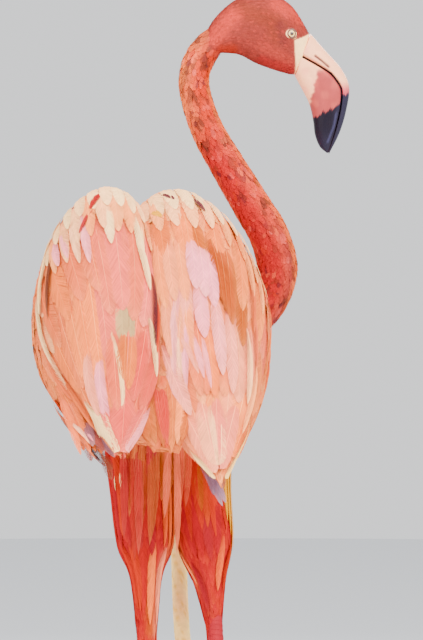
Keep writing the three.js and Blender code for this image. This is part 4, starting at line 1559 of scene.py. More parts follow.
STANDING_OUT = Tract(
    span=(0, 1), pitch=(1, 1), across=(1, 1), length=(1, 1), width=(1, 1),
    vane=Vane(78, widest=0.5, slant=0.14, shaft=True, pointed=0.62),
    tints=Tints((Hue.CREAM,), 0.0, down=Hue.SALMON, rim=Hue.CREAM, rim_share=0.2),
    depth=4.5, over=0.9, stations=12, patch=0.009, emerge=5.0,
)
WING_FANS = {
    Side.LEFT: (
        # broad feathers first, in rows from the shoulder to the tip
        Fan((Hue.CORAL, Hue.SALMON), 22, ((0.4, 0.7), (0.4, 0.99)), ((-0.8, 0.68), (-0.5, 0.99)), 6),
        Fan((Hue.ROSE, Hue.SALMON), 26, ((0.35, 0.58), (0.35, 0.82)), ((-0.4, 0.6), (-0.4, 0.82)), 4),
        Fan((Hue.APRICOT, Hue.SALMON), 27, ((0.95, 0.42), (1, 0.66)), ((0.4, 0.44), (0.35, 0.66)), 4),
        Fan((Hue.OLIVE,), 15, ((0.1, 0.67), (0.1, 0.79)), ((-0.05, 0.67), (-0.05, 0.785)), 2),
        Fan((Hue.SALMON, Hue.ROSE), 27, ((0.3, 0.46), (0.25, 0.73)), ((-0.3, 0.48), (-0.25, 0.74)), 4),
        Fan(
            (Hue.APRICOT, Hue.PEACH, Hue.SALMON), 24, ((1, 0.56), (1.1, 0.82)), ((0.45, 0.58), (0.5, 0.86)), 5
        ),
        Fan((Hue.SALMON, Hue.PEACH), 24, ((1, 0.7), (1.1, 0.94)), ((0.6, 0.72), (0.5, 0.94)), 3),
        # pale feathers over the shoulder and down its rim
        Fan((Hue.SHELL, Hue.PEACH), 15, ((0.7, 0.36), (0.75, 0.54)), ((-0.35, 0.38), (-0.35, 0.55)), 9),
        Fan((Hue.CREAM, Hue.SHELL), 14, ((0.75, 0.33), (0.8, 0.46)), ((-0.4, 0.33), (-0.4, 0.48)), 10),
        Fan((Hue.LILAC, Hue.SHELL), 11, ((0.7, 0.4), (0.7, 0.52)), ((0.4, 0.42), (0.4, 0.6)), 4),
        Fan((Hue.CREAM,), 12, ((0.15, 0.44), (0.15, 0.58)), ((-0.15, 0.44), (-0.2, 0.61)), 2),
        Fan((Hue.RED, Hue.WINE), 9, ((0.15, 0.39), (0.3, 0.46)), ((0.2, 0.44), (0.45, 0.51)), 2),
        Fan((Hue.RUST, Hue.BROWN), 9, ((0.65, 0.42), (0.95, 0.55)), ((0.7, 0.42), (1, 0.57)), 2),
        Fan((Hue.CREAM,), 11, ((0.5, 0.36), (0.85, 0.42)), ((1, 0.42), (1.15, 0.56)), 4),
        Fan((Hue.CREAM, Hue.SHELL), 10, ((1.1, 0.46), (1.2, 0.64)), ((1.15, 0.54), (1.25, 0.74)), 2),
        # thin pale streaks and a coral panel in the middle
        Fan((Hue.CORAL, Hue.SALMON), 18, ((0.25, 0.74), (0.25, 0.93)), ((-0.6, 0.7), (-0.55, 0.9)), 4),
        Fan((Hue.TANGERINE, Hue.APRICOT), 13, ((0.05, 0.75), (0.05, 0.87)), ((-0.1, 0.75), (-0.1, 0.88)), 2),
        Fan((Hue.LILAC, Hue.BLUSH), 11, ((0.6, 0.74), (0.9, 0.92)), ((0.45, 0.78), (0.7, 0.95)), 2),
        Fan((Hue.CREAM,), 5, ((0.3, 0.74), (0, 0.94))),
        Fan((Hue.WINE,), 12, ((-0.36, 0.58), (-0.5, 0.75))),
        Fan((Hue.SCARLET,), 7, ((-0.42, 0.6), (-0.55, 0.76))),
        Fan((Hue.CREAM,), 10, ((-0.15, 0.54), (-0.3, 0.65)), ((-0.3, 0.69), (-0.65, 0.8)), 2),
        Fan((Hue.SALMON, Hue.APRICOT), 9, ((1.2, 0.55), (1.3, 0.78)), ((1.2, 0.65), (1.3, 0.9)), 2),
        # the pale chevron at the tip
        Fan((Hue.CORAL, Hue.ROSE), 12, ((0.7, 0.86), (0.5, 1)), ((-0.7, 0.86), (-0.5, 1)), 3),
        Fan((Hue.CREAM,), 9, ((1.2, 0.82), (0.8, 1))),
        Fan((Hue.BLUSH, Hue.LILAC), 9, ((-0.9, 0.84), (-0.8, 1)), ((-0.75, 0.87), (-0.5, 1)), 2),
    ),
    Side.RIGHT: (
        Fan((Hue.BLUSH, Hue.PEACH), 24, ((-0.85, 0.5), (-0.9, 0.72)), ((-0.1, 0.5), (-0.2, 0.72)), 6),
        Fan((Hue.APRICOT, Hue.PEACH), 22, ((0.1, 0.44), (0.1, 0.6)), ((0.8, 0.44), (0.9, 0.66)), 4),
        Fan((Hue.TANGERINE, Hue.ORANGE), 18, ((0.15, 0.48), (0.2, 0.6)), ((0.6, 0.54), (0.65, 0.72)), 4),
        Fan(
            (Hue.BLUSH, Hue.SALMON, Hue.PEACH), 24, ((-0.8, 0.66), (-0.8, 0.88)), ((1, 0.62), (1.1, 0.84)), 9
        ),
        Fan(
            (Hue.PEACH, Hue.BLUSH, Hue.APRICOT), 22, ((-0.9, 0.8), (-0.8, 0.96)), ((1, 0.78), (0.9, 0.95)), 8
        ),
        # the pale shoulder over orange, with dark quills
        Fan((Hue.TANGERINE, Hue.APRICOT), 20, ((-0.5, 0.42), (-0.55, 0.56)), ((0.05, 0.42), (0.05, 0.57)), 4),
        Fan((Hue.SHELL, Hue.PEACH), 15, ((-0.6, 0.36), (-0.6, 0.5)), ((0.9, 0.36), (0.95, 0.53)), 11),
        Fan((Hue.CREAM, Hue.SHELL), 15, ((-0.65, 0.32), (-0.65, 0.46)), ((0.9, 0.32), (1, 0.47)), 13),
        Fan((Hue.GOLD,), 7, ((-0.2, 0.42), (-0.1, 0.47))),
        Fan((Hue.WINE,), 7, ((-0.05, 0.37), (0.05, 0.43)), ((0.2, 0.4), (0.3, 0.46)), 2),
        Fan((Hue.SHELL, Hue.PEACH), 12, ((0.6, 0.42), (0.75, 0.58)), ((0.95, 0.44), (1.05, 0.6)), 3),
        Fan((Hue.ORANGE,), 15, ((0.3, 0.52), (0.4, 0.66)), ((0.45, 0.54), (0.5, 0.7)), 3),
        Fan((Hue.TANGERINE, Hue.SALMON), 9, ((0.7, 0.5), (0.8, 0.66)), ((0.8, 0.6), (0.9, 0.74)), 2),
        # lilac feathers down the middle
        Fan((Hue.BLUSH, Hue.PEACH), 15, ((-0.3, 0.5), (-0.35, 0.66)), ((0, 0.52), (0, 0.68)), 4),
        Fan((Hue.LILAC,), 16, ((0.12, 0.53), (0.12, 0.66)), ((0.25, 0.55), (0.3, 0.68)), 3),
        Fan((Hue.LILAC, Hue.BLUSH), 15, ((0.05, 0.6), (-0.1, 0.77)), ((0.15, 0.62), (0.15, 0.75)), 2),
        Fan((Hue.PEACH, Hue.BLUSH), 13, ((-0.2, 0.62), (-0.35, 0.76)), ((0, 0.64), (-0.1, 0.78)), 3),
        Fan((Hue.LILAC, Hue.SHELL), 9, ((0, 0.62), (-0.45, 0.8)), ((0.05, 0.66), (-0.35, 0.84)), 3),
        Fan((Hue.SALMON, Hue.APRICOT), 15, ((-0.05, 0.7), (-0.1, 0.86)), ((0.2, 0.7), (0.2, 0.87)), 3),
        Fan((Hue.BLUSH, Hue.LILAC), 6, ((-0.2, 0.7), (-0.05, 0.82)), ((0.1, 0.72), (0.15, 0.84)), 3),
        Fan((Hue.BLUSH, Hue.LILAC), 15, ((0.3, 0.64), (0.35, 0.82)), ((0.45, 0.66), (0.5, 0.84)), 2),
        Fan((Hue.BLUSH, Hue.LILAC), 18, ((-0.8, 0.68), (-0.8, 0.86)), ((-0.45, 0.7), (-0.4, 0.88)), 3),
        Fan((Hue.SHELL, Hue.PEACH), 7, ((0.7, 0.66), (0.8, 0.86)), ((0.9, 0.7), (0.9, 0.9)), 2),
        Fan((Hue.SCARLET, Hue.APRICOT), 8, ((0.95, 0.46), (1.1, 0.64)), ((1.1, 0.58), (1.2, 0.72)), 2),
        # the pale pointed tip
        Fan((Hue.BLUSH, Hue.ROSE), 19, ((-0.5, 0.85), (-0.4, 0.99)), ((0.6, 0.85), (0.4, 0.99)), 4),
        Fan((Hue.BLUSH, Hue.SHELL), 16, ((-0.1, 0.86), (-0.2, 0.98)), ((0.3, 0.87), (0.3, 0.98)), 3),
        Fan((Hue.RUST,), 2.5, ((0.05, 0.9), (0.1, 0.985))),
        Fan((Hue.CREAM, Hue.GOLD), 3, ((-0.95, 0.9), (-0.8, 1)), ((1.2, 0.84), (1, 1)), 2),
    ),
}
ROOT_HEIGHT = 660.0


def loose(hues: tuple[Hue, ...], width: float, edges: tuple[float, float], hang: float, count: int) -> Fan:
    """Feathers rooted in a row under the tail; the longer ones hang further in over the thighs.

    Args:
        hues: Their colours.
        width: How wide each is, in millimetres.
        edges: The X of the first and of the last root, in millimetres.
        hang: How far the tips hang below the roots.
        count: How many there are.

    Returns:
        The row.
    """
    first, last = (
        ((x, 135 - 0.15 * hang, ROOT_HEIGHT), (0.9 * x - 5, 75 - 0.3 * hang, ROOT_HEIGHT - hang))
        for x in edges
    )
    return Fan(hues, width, first, last, count, free=True)


TAIL_FANS = (
    Fan((Hue.ORANGE, Hue.TANGERINE), 12, ((0.7, 0.1), (0.7, 0.85)), ((0.15, 0.1), (0.1, 1)), 3),
    Fan((Hue.TANGERINE, Hue.PEACH), 12, ((-0.25, 0.1), (-0.25, 1)), ((-0.8, 0.1), (-0.7, 0.85)), 3),
    Fan((Hue.SCARLET, Hue.RED), 9, ((0.1, 0.1), (0.05, 0.9)), ((-0.05, 0.1), (-0.05, 1)), 2),
    loose((Hue.SCARLET, Hue.SALMON), 8, (0, -20), 115, 4),
    loose((Hue.RED, Hue.SCARLET), 9, (45, 30), 140, 4),
    loose((Hue.ORANGE, Hue.SCARLET), 8, (25, 10), 135, 3),
    loose((Hue.APRICOT, Hue.TANGERINE), 9, (10, -15), 70, 4),
    loose((Hue.ORANGE, Hue.APRICOT), 8, (45, 25), 90, 4),
    loose((Hue.RED, Hue.CRIMSON), 7, (20, 15), 100, 2),
)


def by_blade(side: Side, share: float, out: float, up: float) -> Place:
    """The place a share along a wing's blade of flight feathers, then out and up from it in millimetres."""
    path = np.array(PRIMARIES[side].path, float)
    x, y, z = (float(np.interp(share * (len(path) - 1), np.arange(len(path)), line)) for line in path.T)
    return x + side.value * out, y, z + up


def flight(side: Side, hues: tuple[Hue, ...], width: float, first: Line, last: Line, count: int) -> Fan:
    """Flight feathers whose broad sides face out beside a wing's blade.

    Args:
        side: Which wing.
        hues: Their colours.
        width: How wide each is, in millimetres.
        first: The first feather's root and tip, each as by_blade takes it.
        last: The last feather's.
        count: How many there are.

    Returns:
        The row.
    """
    ends = (tuple(by_blade(side, *place) for place in feather) for feather in (first, last))
    return Fan(hues, width, *ends, count, free=True)


# The mauve and brick rows are dark flight feathers coloured also as painted shade under each wing tip.
FLIGHT_ROWS = {
    Side.LEFT: (
        ((Hue.SCARLET, Hue.RUST), 9, ((0.7, 5, 10), (0.55, -20, -35)), ((0.75, -10, -5), (0.6, -30, -40)), 3),
        ((Hue.APRICOT, Hue.SALMON), 12, ((0.25, 10, 35), (0.9, 10, 10)), ((0.4, 0, 25), (0.95, -5, 0)), 6),
        ((Hue.SALMON, Hue.APRICOT), 10, ((0.35, 10, 30), (0.9, 15, 5)), ((0.4, 5, 30), (0.95, 5, 0)), 4),
        ((Hue.MAUVE, Hue.BRICK), 9, ((0.65, 0, 20), (1, 5, 15)), ((0.7, 0, 20), (1, -5, 5)), 4),
        ((Hue.CREAM, Hue.LILAC), 3.5, ((0.65, 15, 20), (0.9, 10, 15)), ((0.65, 5, 15), (0.95, 10, 20)), 3),
    ),
    Side.RIGHT: (
        ((Hue.RED, Hue.CRIMSON), 6, ((0.75, -15, 25), (0.75, -10, -5)), ((0.75, -10, 25), (0.75, -5, -5)), 2),
        ((Hue.MAUVE,), 9, ((0.7, -20, 20), (0.9, 5, -20)), ((0.75, -5, 10), (0.9, 10, -20)), 3),
    ),
}
FLIGHT_FANS = {side: tuple(flight(side, *row) for row in rows) for side, rows in FLIGHT_ROWS.items()}
THIGH_FANS = {
    Side.LEFT: (
        Fan((Hue.RED, Hue.SCARLET), 15, ((0.9, 0.05), (0.85, 0.6)), ((-0.2, 0.05), (-0.2, 0.6)), 5),
        Fan((Hue.CRIMSON, Hue.RED), 11, ((0.7, 0.2), (0.7, 0.66)), ((0, 0.3), (-0.1, 0.7)), 4),
        Fan((Hue.APRICOT, Hue.SCARLET), 9, ((-0.4, 0.1), (-0.4, 0.64)), ((-0.9, 0.1), (-0.85, 0.66)), 4),
        Fan((Hue.RED, Hue.SCARLET), 9, ((0.8, 0.52), (0.5, 0.92)), ((0.1, 0.56), (0.2, 0.96)), 3),
        Fan((Hue.APRICOT,), 9, ((-0.15, 0.6), (-0.1, 0.98))),
        Fan((Hue.BLUSH,), 8, ((-0.5, 0.6), (-0.5, 0.98))),
        Fan((Hue.CREAM,), 3, ((0.65, 0.33), (0.65, 0.4)), ((0.5, 0.32), (0.5, 0.4)), 2),
    ),
    Side.RIGHT: (
        Fan((Hue.RED, Hue.SCARLET), 15, ((0.85, 0.05), (0.7, 0.6)), ((-0.8, 0.05), (-0.75, 0.6)), 6),
        Fan((Hue.CRIMSON, Hue.RED), 12, ((0.6, 0.36), (0.35, 0.7)), ((-0.2, 0.38), (-0.2, 0.7)), 4),
        Fan((Hue.TANGERINE, Hue.SCARLET), 9, ((0.15, 0.24), (0.1, 0.5)), ((-0.05, 0.28), (0, 0.55)), 2),
        Fan((Hue.PEACH, Hue.BLUSH), 6, ((1, 0.42), (0.9, 0.66)), ((0.95, 0.56), (0.65, 0.82)), 2),
        Fan((Hue.CRIMSON,), 8, ((0.65, 0.66), (0.3, 0.95))),
        Fan((Hue.SCARLET, Hue.APRICOT), 8, ((-0.4, 0.56), (-0.2, 0.88)), ((-0.7, 0.58), (-0.5, 0.86)), 2),
        Fan((Hue.GOLD,), 6, ((-0.45, 0.2), (-0.5, 0.55)), ((-0.8, 0.15), (-0.8, 0.65)), 4),
    ),
}


def wing_coat(side: Side) -> Coat:
    """The coverts and long scapulars of one folded wing."""
    back = Tints(
        (Hue.PEACH, Hue.SALMON, Hue.BLUSH, Hue.APRICOT, Hue.ROSE), 0.8, down=Hue.SALMON, rim=Hue.CREAM,
        rim_share=0.28,
    )
    return Coat(
        name=f"feathers_wing_{side.word}", form=WINGS[side], region=Region.BODY, slot="body_plumage",
        finish=FEATHER,
        tracts=(
            Tract(
                (0.02, 0.36), (12, 14), (13, 15), (46, 62), (17, 20), Vane(22), back, depth=4, detail=0.35,
                tuck=0.9,
            ),
            Tract(
                (0.26, 0.62), (18, 22), (16, 17), (76, 112), (22, 25), Vane(44, shaft=True), back, depth=4.5,
                detail=0.4, patch=0.006, tuck=0.9,
            ),
            Tract(
                (0.40, 0.93), (26, 26, 20), (16, 15, 11), (140, 172, 128, 68, 36), (25, 28, 27, 22, 14),
                Vane(84, widest=0.55, slant=0.12, shaft=True, pointed=0.7), back, depth=4.5, detail=0.45,
                stations=10, patch=0.012, tuck=0.8,
            ),
        ),
        fans=WING_FANS[side], fan_kind=STANDING_OUT,
    )


def trunk_coat() -> Coat:
    """The breast, belly and the back between the wings."""
    tints = Tints(
        (Hue.SALMON, Hue.APRICOT, Hue.BLUSH, Hue.CORAL), 0.6, down=Hue.CORAL, rim=Hue.CREAM, rim_share=0.25
    )
    back = Tints(
        (Hue.APRICOT, Hue.TANGERINE, Hue.PEACH, Hue.SCARLET), 0.7, down=Hue.BRICK, rim=Hue.CREAM,
        rim_share=0.25,
    )
    return Coat(
        name="feathers_trunk", form=TRUNK, region=Region.BODY, slot="body_plumage", finish=FEATHER,
        tracts=(
            Tract(
                (0.0, 0.9), (11, 12, 13), (13, 14, 13), (40, 48, 46), (18, 20, 18), Vane(18), tints, depth=4,
                detail=0.3, tuck=0.9,
            ),
            Tract(
                (0.45, 0.93), (20, 18), (12, 9), (90, 78, 60), (20, 19, 16),
                Vane(50, shaft=True, slant=0.14, pointed=0.7), back, depth=5,
                window=(0.08, 0.42), detail=0.6, patch=0.008,
            ),
        ),
    )


def tail_coat() -> Coat:
    """The short tail and its coverts."""
    tints = Tints(
        (Hue.TANGERINE, Hue.APRICOT, Hue.SALMON, Hue.SCARLET), 0.5, down=Hue.SCARLET, rim=Hue.CREAM,
        rim_share=0.15,
    )
    return Coat(
        name="feathers_tail", form=TAIL_FAN, region=Region.BODY, slot="flight_feathers", finish=QUILL,
        cover=14.0,
        tracts=(
            Tract(
                (0.0, 0.85), (12, 10), (9, 7), (60, 50, 34), (13, 10),
                Vane(36, widest=0.5, shaft=True, pointed=0.9), tints,
                depth=4, detail=0.5, patch=0.008, ragged=10,
            ),
        ),
        fans=TAIL_FANS,
        fan_kind=replace(
            STANDING_OUT, depth=4.0, over=0.6, vane=replace(STANDING_OUT.vane, barbs=48, pointed=0.9)
        ),
    )


def neck_coat() -> Coat:
    """The short dense feathers of the neck, pointing towards the body."""
    tints = Tints(
        (Hue.BROWN, Hue.WINE, Hue.RUST, Hue.SALMON, Hue.ROSE, Hue.SCARLET), 0.7,
        down=Hue.RUST, rim=Hue.SALMON, rim_share=0.15, few=0.35,
    )
    return Coat(
        name="feathers_neck", form=NECK, region=Region.NECK, slot="neck_plumage", finish=FEATHER, cover=3.0,
        tracts=(
            Tract(
                (0.05, 0.985), (4.8, 4.6, 4.0), (5.2, 4.8, 4.2), (20, 17, 13), (7.6, 6.6, 5.4),
                Vane(10, widest=0.55), tints,
                depth=1.7, flow=Flow.BACK, barb_lift=0.06, wander=0.12, stations=5,
            ),
        ),
    )


def on_crown(p: Array) -> Array:
    """Whether a place on the head has feathers."""
    return MARKINGS.bare(p) < 0.25


def head_coat() -> Coat:
    """The smallest feathers, tight to the skull."""
    tints = Tints((Hue.CORAL, Hue.RUST, Hue.BROWN), 0.3, down=Hue.RUST, rim=Hue.CORAL, rim_share=0.1, few=0.4)
    return Coat(
        name="feathers_head", form=HEAD, region=Region.HEAD, slot="neck_plumage", finish=FEATHER,
        keep=on_crown, cover=2.0,
        tracts=(
            Tract(
                (0.0, 1.0), (2.5, 2.3), (2.8, 2.4), (8, 5.4), (3.8, 2.8), Vane(6, widest=0.55), tints,
                depth=0.55, flow=Flow.BACK, barb_lift=0.04, wander=0.14, stations=4,
            ),
        ),
    )


def thigh_coat(side: Side) -> Coat:
    """Long narrow feathers down the thigh, ending ragged above the bare shank."""
    tints = Tints(
        (Hue.RED, Hue.SCARLET, Hue.TANGERINE, Hue.CRIMSON), 0.5, down=Hue.RUST, rim=Hue.APRICOT, rim_share=0.2
    )
    return Coat(
        name=f"feathers_thigh_{side.word}", form=THIGHS[side], region=Region.THIGH, slot="thigh_plumage",
        finish=FEATHER,
        tracts=(
            Tract(
                (0.0, 1.02), (10, 10, 8, 6), (7, 6.5, 5, 3.4), (58, 60, 46, 26), (10, 9.5, 7.5, 5),
                Vane(24, widest=0.5, slant=0.16), tints,
                depth=2.6, wander=0.05, detail=0.5, end=1.14, ragged=24, tuck=0.3,
            ),
        ),
        fans=THIGH_FANS[side], fan_kind=replace(
            STANDING_OUT, vane=Vane(56, widest=0.5, slant=0.12, pointed=0.8), depth=2.4, over=0.5,
            tints=replace(STANDING_OUT.tints, down=Hue.RED, rim=Hue.APRICOT, rim_share=0.15),
        ),
    )


def primaries(side: Side) -> Coat:
    """The flight feathers that show under the wing's lower edge, from apricot to mauve; the mauve and brick
    are both dark flight feather and painted shade under the wing tip.
    """
    dark = (Hue.MAUVE, Hue.BRICK, Hue.MAUVE)
    hues = (Hue.APRICOT, Hue.SALMON, Hue.MAUVE, Hue.BRICK) if side is Side.LEFT else dark
    outer = Tract(
        (0.0, 0.62), (13, 13), (11, 9), (70, 62, 50), (15, 16, 14), Vane(44, shaft=True, slant=0.12),
        Tints(hues, 0.9, down=Hue.SALMON, rim=Hue.BLUSH, rim_share=0.25),
        depth=0.6, patch=0.01, wander=0.03, window=(0.5, 1), end=0.9, ragged=2,
    )
    return Coat(
        name=f"flight_feathers_{side.word}", form=PRIMARIES[side], region=Region.BODY, slot="flight_feathers",
        finish=QUILL,
        tracts=(outer, replace(outer, window=(0, 0.5), end=0.7)), cover=99.0,
        fans=FLIGHT_FANS[side], fan_kind=replace(STANDING_OUT, depth=2.0, over=0.3),
    )


# ---------------------------------------------------------------- plates that repeat
class Plate(Enum):
    """The shape of one plate: how many sides it has and how much wider its lower end is."""

    SCUTE = (22, 1.03)
    LAMELLA = (4, 0.35)


@dataclass
class Plates:
    """Plates set out along a line by Geometry Nodes: one to each point, with its turn and size."""

    name: str
    kind: Plate
    finish: Surface
    spots: list[Array] = field(default_factory=list)
    turns: list[Place] = field(default_factory=list)
    sizes: list[Place] = field(default_factory=list)

    def add(self, spot: Array, across: Array, heading: Array, size: Place) -> None:
        """Adds a plate.

        Args:
            spot: Its middle, in millimetres.
            across: The way its first size runs.
            heading: The way its third size runs.
            size: Its half-width, half-depth and length, in millimetres.
        """
        frame_of = Matrix((Vector(across), Vector(np.cross(heading, across)), Vector(heading))).transposed()
        self.spots.append(spot)
        self.turns.append(tuple(frame_of.to_euler()))
        self.sizes.append(tuple(s * MM for s in size))

    def tree(self) -> bpy.types.GeometryNodeTree:
        """The nodes: the points in, a plate on each, all realized, with the finish set."""
        made = bpy.data.node_groups.new(f"plates_{self.kind.name.lower()}", "GeometryNodeTree")
        made.interface.new_socket("Points", in_out="INPUT", socket_type="NodeSocketGeometry")
        made.interface.new_socket("Flare", in_out="INPUT", socket_type="NodeSocketFloat")
        made.interface.new_socket("Finish", in_out="INPUT", socket_type="NodeSocketMaterial")
        made.interface.new_socket("Plates", in_out="OUTPUT", socket_type="NodeSocketGeometry")
        given = made.nodes.new("NodeGroupInput").outputs
        turn = add_node(made, "GeometryNodeInputNamedAttribute", {"Name": "turn"}, data_type="FLOAT_VECTOR")
        size = add_node(made, "GeometryNodeInputNamedAttribute", {"Name": "size"}, data_type="FLOAT_VECTOR")
        plate = add_node(
            made, "GeometryNodeMeshCone",
            {
                "Vertices": self.kind.value[0], "Radius Top": 0.98, "Radius Bottom": given["Flare"],
                "Depth": 1.0,
            },
            fill_type="TRIANGLE_FAN",
        )
        points = add_node(made, "GeometryNodeMeshToPoints", {"Mesh": given["Points"]})
        turned = add_node(made, "FunctionNodeEulerToRotation", {"Euler": turn.outputs["Attribute"]})
        placed = add_node(
            made, "GeometryNodeInstanceOnPoints",
            {
                "Points": points.outputs["Points"], "Instance": plate.outputs["Mesh"],
                "Rotation": turned.outputs["Rotation"], "Scale": size.outputs["Attribute"],
            },
        )
        real = add_node(made, "GeometryNodeRealizeInstances", {"Geometry": placed.outputs["Instances"]})
        clad = add_node(
            made, "GeometryNodeSetMaterial",
            {"Geometry": real.outputs["Geometry"], "Material": given["Finish"]},
        )
        add_node(made, "NodeGroupOutput", {"Plates": clad.outputs["Geometry"]})
        return made

    def build(self, paint: Callable[[Array], Array]) -> Object:
        """The plates as one plain mesh.

        Args:
            paint: Gives the colour of each vertex from its place.

        Returns:
            The finished piece.
        """
        rows = piece(self.name, mesh_from(self.name, np.array(self.spots), np.zeros((0, 4), int)))
        for name, values in (("turn", self.turns), ("size", self.sizes)):
            layer = rows.data.attributes.new(name, "FLOAT_VECTOR", "POINT")
            layer.data.foreach_set("vector", np.array(values, np.float32).ravel())
        nodes = rows.modifiers.new("plates", "NODES")
        nodes.node_group = self.tree()
        finish = self.finish.material()
        for item in nodes.node_group.interface.items_tree:
            if item.in_out == "INPUT" and item.name in ("Flare", "Finish"):
                nodes[item.identifier] = finish if item.name == "Finish" else self.kind.value[1]
        mesh = applied(rows)
        coloured(mesh, paint(places(mesh)))
        return piece(self.name, mesh)


def leg_scutes(side: Side) -> Object:
    """The horny scutes down one shank and tarsus, each ring overlapping the next."""
    plates = Plates(f"scutes_{side.word}", Plate.SCUTE, HIDE)
    for limb, span, pitch in ((TARSI[side], (0.1, 0.93), 5.5), (SHANKS[side], (0.35, 0.85), 5.5)):
        path = np.asarray(limb.path, float)
        count = round(np.linalg.norm(np.diff(path, axis=0), axis=1).sum() * (span[1] - span[0]) / pitch)
        for t in np.linspace(*span, count):
            heading = unit(along(limb.path, np.array(t + 0.01)) - along(limb.path, np.array(t - 0.01)))
            lateral = unit(np.asarray(limb.side) - dot(heading, np.asarray(limb.side)) * heading)
            size = (
                float(along(limb.across, np.array(t))), float(along(limb.deep, np.array(t))), 1.12 * pitch
            )
            plates.add(along(limb.path, np.array(t)), lateral, -heading, size)
    return plates.build(lambda p: MARKINGS.leg(p, p[:, 2]))


def lamellae() -> Object:
    """The comb of fine plates along the inner edges of the lower bill."""
    plates = Plates("bill_horn_lamellae", Plate.LAMELLA, HORN)
    for t in np.linspace(0.15, 0.75, 80):
        middle = along(GAPE, np.array(t))
        heading = unit(along(GAPE, np.array(t + 0.01)) - middle)
        inward = np.cross(heading, (0, 1, 0))
        reach = float(along(LOWER_BILL.half, np.array(t))) - 5.5
        for sign in (1, -1):
            plates.add(
                middle + np.array([0, sign * reach, 0]), np.array([0.0, 1.0, 0.0]), inward, (1.5, 0.35, 2.6)
            )
    return plates.build(lambda p: np.broadcast_to(shade("#2E222A"), p.shape))


# ---------------------------------------------------------------- bill, eyes and claws
@dataclass
class Bill:
    """The bent bill: cream horn, a coral middle and a black tip."""

    sides: int = 96
    steps: int = 150
    black_edge: Line = (
        (-216, 0, 981), (-207, 0, 979), (-205, 0, 969), (-198, 0, 965), (-190, 0, 962), (-180, 0, 956)
    )
    nostril: Line = ((-180, HEAD_Y, 1019), (-186, HEAD_Y, 1014.5), (-194, HEAD_Y, 1008))

    def build(self) -> list[Object]:
        """Both halves of the bill."""
        horn = HORN.material()
        made = []
        for name, form in (("bill_horn_upper", UPPER_BILL), ("bill_horn_lower", LOWER_BILL)):
            points, faces = form.shell(self.sides, self.steps)
            points = self.carved(points, form)
            made.append(finished(name, points, faces, self.painted(points, form is UPPER_BILL), horn))
        return made

    def carved(self, p: Array, form: Form) -> Array:
        """Presses the nostril slots into the upper bill and a shallow channel along the lower one."""
        inward = np.stack([0 * p[:, 0], -np.sign(p[:, 1] - HEAD_Y), 0 * p[:, 0]], -1)
        flat = np.stack([p[:, 0], np.full(len(p), HEAD_Y), p[:, 2]], -1)
        sideways = ramp(np.abs(p[:, 1] - HEAD_Y), 4, 8)
        if form is UPPER_BILL:
            slot, rim = (closeness(flat, self.nostril, reach) for reach in (1.2, 3.0))
            return p + inward * (sideways * (2.0 * slot - 0.35 * rim))[:, None]
        channel = closeness(flat, face_line((-172, 1003), (-186, 985), (-193, 965), (-193, 945)), 2.6)
        return p + inward * (0.7 * sideways * channel)[:, None]

    def painted(self, p: Array, upper: bool) -> Array:
        """Cream at the base, coral on the lower half, black beyond a ragged border, with a painted highlight
        streak on the black.
        """
        x, z = p[:, 0], p[:, 2]
        ground = np.broadcast_to(shade("#F6A87B"), p.shape)
        wash = np.sin(0.31 * x + 0.8) * np.sin(0.27 * z + 0.2 * p[:, 1])
        ground = mix(ground, shade("#F69274"), 0.45 * ramp(wash, 0.1, 0.8))
        if upper:
            ground = mix(ground, shade("#B13C4A"), 0.9 * ramp(-z, -995, -982))
        else:
            ragged_side = 1.3 * np.sin(0.5 * z) + 0.8 * np.sin(1.3 * z)
            side = 177 + 0.2 * (z - 976) + 0.6 * ragged_side
            coral = ramp(-z, -1008, -1001) * ramp(-x - side, -1.5, 1.5)
            ground = mix(ground, shade("#943736"), 0.97 * coral)
            ground = mix(ground, shade("#C05545"), 0.35 * coral * ramp(wash, 0.0, 0.7))
        edge = np.asarray(self.black_edge, float)
        border = np.interp(x, edge[:, 0], edge[:, 2])
        ragged = 1.0 * np.sin(0.9 * x + 0.4 * p[:, 1])
        ragged = ragged + 0.8 * np.sin(2.7 * x + p[:, 1]) + 0.5 * np.sin(5.1 * x)
        black = ramp(border + ragged - z, -0.9, 0.9)
        dark = mix(np.broadcast_to(shade("#17121C"), p.shape), shade("#292436"), ramp(-z, -950, -925) * 0.5)
        dark = mix(dark, shade("#2B2838"), 0.7 * ramp(-x, 196, 206))
        ground = mix(ground, dark, black)
        flat = np.stack([x, np.full(len(p), HEAD_Y), z], -1)
        seam = Stroke("#251722", 1.0, GAPE, 0.95)
        # A painted highlight: a blue-grey glint streak down the black tip.
        glint = Stroke("#383651", 1.3, face_line((-202, 960), (-200, 948), (-194, 931)), 0.7)
        slot = Stroke("#3E2123", 1.0, self.nostril, 0.9 if upper else 0.0)
        for stroke in (seam, glint, slot):
            ground = mix(ground, shade(stroke.colour), stroke.share(flat))
        return ground


